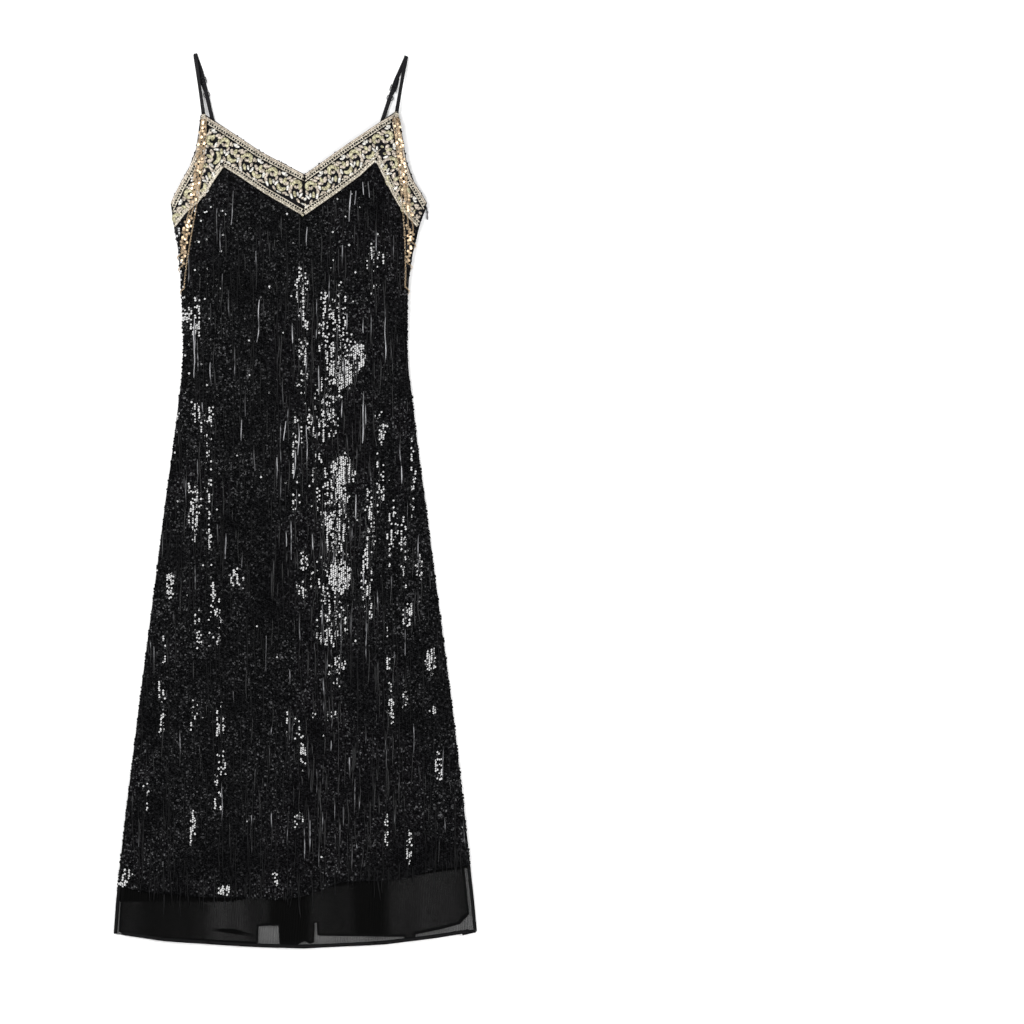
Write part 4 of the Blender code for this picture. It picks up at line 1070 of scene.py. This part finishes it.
def curve_through(points, step):
    """A smooth line through points, with points about a step apart."""
    points = [Vector(p) for p in points]
    ends = [points[0] * 2 - points[1], *points, points[-1] * 2 - points[-2]]
    line = []
    for a, b, c, d in zip(ends, ends[1:], ends[2:], ends[3:]):
        square, cube = 2 * a - 5 * b + 4 * c - d, 3 * b - a - 3 * c + d
        for t in np.arange(16) / 16:
            line.append(0.5 * (2 * b + (c - a) * t + square * t * t + cube * t**3))
    return evenly(line + [points[-1]], step)


def evenly(line, step):
    line = np.array([tuple(p) for p in line])
    lengths = lengths_along(line)
    at = np.linspace(0, lengths[-1], max(2, round(lengths[-1] / step) + 1))
    return np.column_stack([np.interp(at, lengths, line[:, k]) for k in range(line.shape[1])])


over_tree = tree_of(front, *ribbons, *embroidery)


def chain_line(name, front_points, edge, back_points, coins):
    """Centres of the links of a strand, in millimetres."""
    radius = 1.15 if coins else 0.6
    out = -1 if "left" in name else 1
    line = []
    for x, height in curve_through(front_points, 3.0):
        around = [hit(over_tree, x + dx, height) for dx in (-1.5, 0, 1.5)]
        line.append((x, height, max(found[0] for found in around if found) + radius + 0.25))
    side = side_edge(front_tree, edge, out)
    over = hit(front_tree, side - 4.5 * out, edge + 5)[0]
    line += [
        (side - 4.5 * out, edge + 5, over + radius + 1.2),
        (side + 0.3 * out, edge + 1, over + 0.9 + radius),
        (side + (radius + 0.7) * out, edge, over - 0.2),
        (side + (radius + 0.7) * out, edge - 2, 3.3),
        (side + 0.3 * out, edge - 4, radius + 0.35),
        (side - 5 * out, edge - 8, radius + 0.15),
    ]
    rise = curve_through([(side - 5 * out, edge - 8), *back_points], 3.0)[1:]
    line += [(x, height, radius + 0.15) for x, height in rise]
    return evenly(line, LINK_PITCH)


angles = np.radians(np.arange(0, 360, 45))
oval = np.column_stack([LINK_LONG * np.cos(angles), np.sin(angles), 0 * angles])
link_points, link_faces = tubes([oval], [LINK_WIRE], 3, 1.0, closed=True)
rim = np.column_stack([np.cos(angles), np.sin(angles)]) * COIN
coin_points = np.concatenate([np.column_stack([rim, np.full(8, z)]) for z in (-0.2, 0.2)])
coin_faces = [(0, 3, 2, 1), (0, 5, 4, 3), (0, 7, 6, 5)]
coin_faces += [(8, 9, 10, 11), (8, 11, 12, 13), (8, 13, 14, 15)]
coin_faces += [(i, (i + 1) % 8, 8 + (i + 1) % 8, 8 + i) for i in range(8)]
coin_chance = random.Random(8)
for name, front_points, edge, back_points, coins in STRANDS:
    line = chain_line(name, front_points, edge, back_points, coins)
    along = unit(np.gradient(line, axis=0))
    level, over = level_and_over(along, 0.15, (0.0, 1.0, 0.0))
    parts = []
    for i, centre in enumerate(line):
        lean = math.radians(LINK_LEAN if i % 2 else -LINK_LEAN)
        across = math.cos(lean) * level[i] + math.sin(lean) * over[i]
        third = np.cross(along[i], across)
        parts.append((centre + link_points @ np.array([along[i], across, third]), link_faces))
    points, faces = joined(parts)
    points[:, 2] = np.maximum(points[:, 2], 0.05)
    chain = mesh_object(name + "_links", metres(points), faces, gold, True)
    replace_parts(chain, name)
    if not coins:
        continue
    parts, at = [], 3.0
    while at < LINK_PITCH * (len(line) - 3):
        i = int(at / LINK_PITCH)
        near = line[max(0, i - 4)], line[min(len(line) - 1, i + 4)]
        if all(abs(line[i][2] - other[2]) <= 1.2 for other in near):
            hand = 1 if coin_chance.random() < 0.5 else -1
            behind = line[i][2] < 2.2
            lean = coin_chance.gauss(0, 0.07 if behind else 0.22)
            pitch = coin_chance.gauss(0, 0.05 if behind else 0.2)
            middle = line[i] + level[i] * hand * coin_chance.uniform(1.2, 2.6)
            middle[1] -= 0.8
            found = None if behind else hit(over_tree, middle[0], middle[1])
            above = (found[0] if found else middle[2]) + 1.1
            middle[2] = 0.55 if behind else max(middle[2] + 0.25, above)
            turned = coin_points.copy()
            turned[:, 2] += turned[:, 0] * lean + turned[:, 1] * pitch
            parts.append((middle + turned, coin_faces))
        at += COIN_PITCH * coin_chance.uniform(0.75, 1.25)
    points, faces = joined(parts)
    points[:, 2] = np.maximum(points[:, 2], 0.03)
    mesh_object(name + "_coins", metres(points), faces, gold)
coat(gold, "chain_link_left", "chain_link_right")


# Side seams and zip: the panels meet in a narrow overlocked seam. A fine zip is set in the seam under
# the wearer's left arm. Its slider and drop-shaped pull are plain metal, in the CAD nodes' own shape.
seam_paths = []
for side in (-1, 1):
    path = []
    for height in np.arange(118, 1112, 12):
        x = side_edge(front_tree, height, side)
        found = hit(front_tree, x - 1.0 * side, height)
        beneath = hit(back_tree, x - 1.0 * side, height, True)
        low = beneath[0] if beneath else 0.8
        path.append((x - 0.8 * side, height, (found[0] + low) / 2))
    seam_paths.append(path)
tube_object("side_seams", seam_paths, [0.8, 0.8], hem_black, "sequin_net", 6, 0.9)
tape_path = []
for height in range(1112, 1050, -12):
    tape_path.append((side_edge(front_tree, height, 1) + 0.3, height, height / 110 - 6))
tape_sizes = [1.2, 1.3, 1.3, 1.2, 1.0, 0.6]
tube_object("zip_tape", [tape_path], [tape_sizes], hem_black, "satin", 6, 1.0)
steel, shader, where = finish("zip_metal", Metallic=1.0)
brushed = where.stretch(1, 0.05, 1).noise(900)
feed(shader, "Base Color", brushed.mix((0.42, 0.42, 0.43, 1), (0.6, 0.6, 0.62, 1)))
feed(shader, "Roughness", brushed * 0.2 + 0.22)
coat(steel, "zip_slider", "zip_pull")

size = {"cad": [list(corner) for corner in cad_box], "scene": [list(corner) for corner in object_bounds()]}
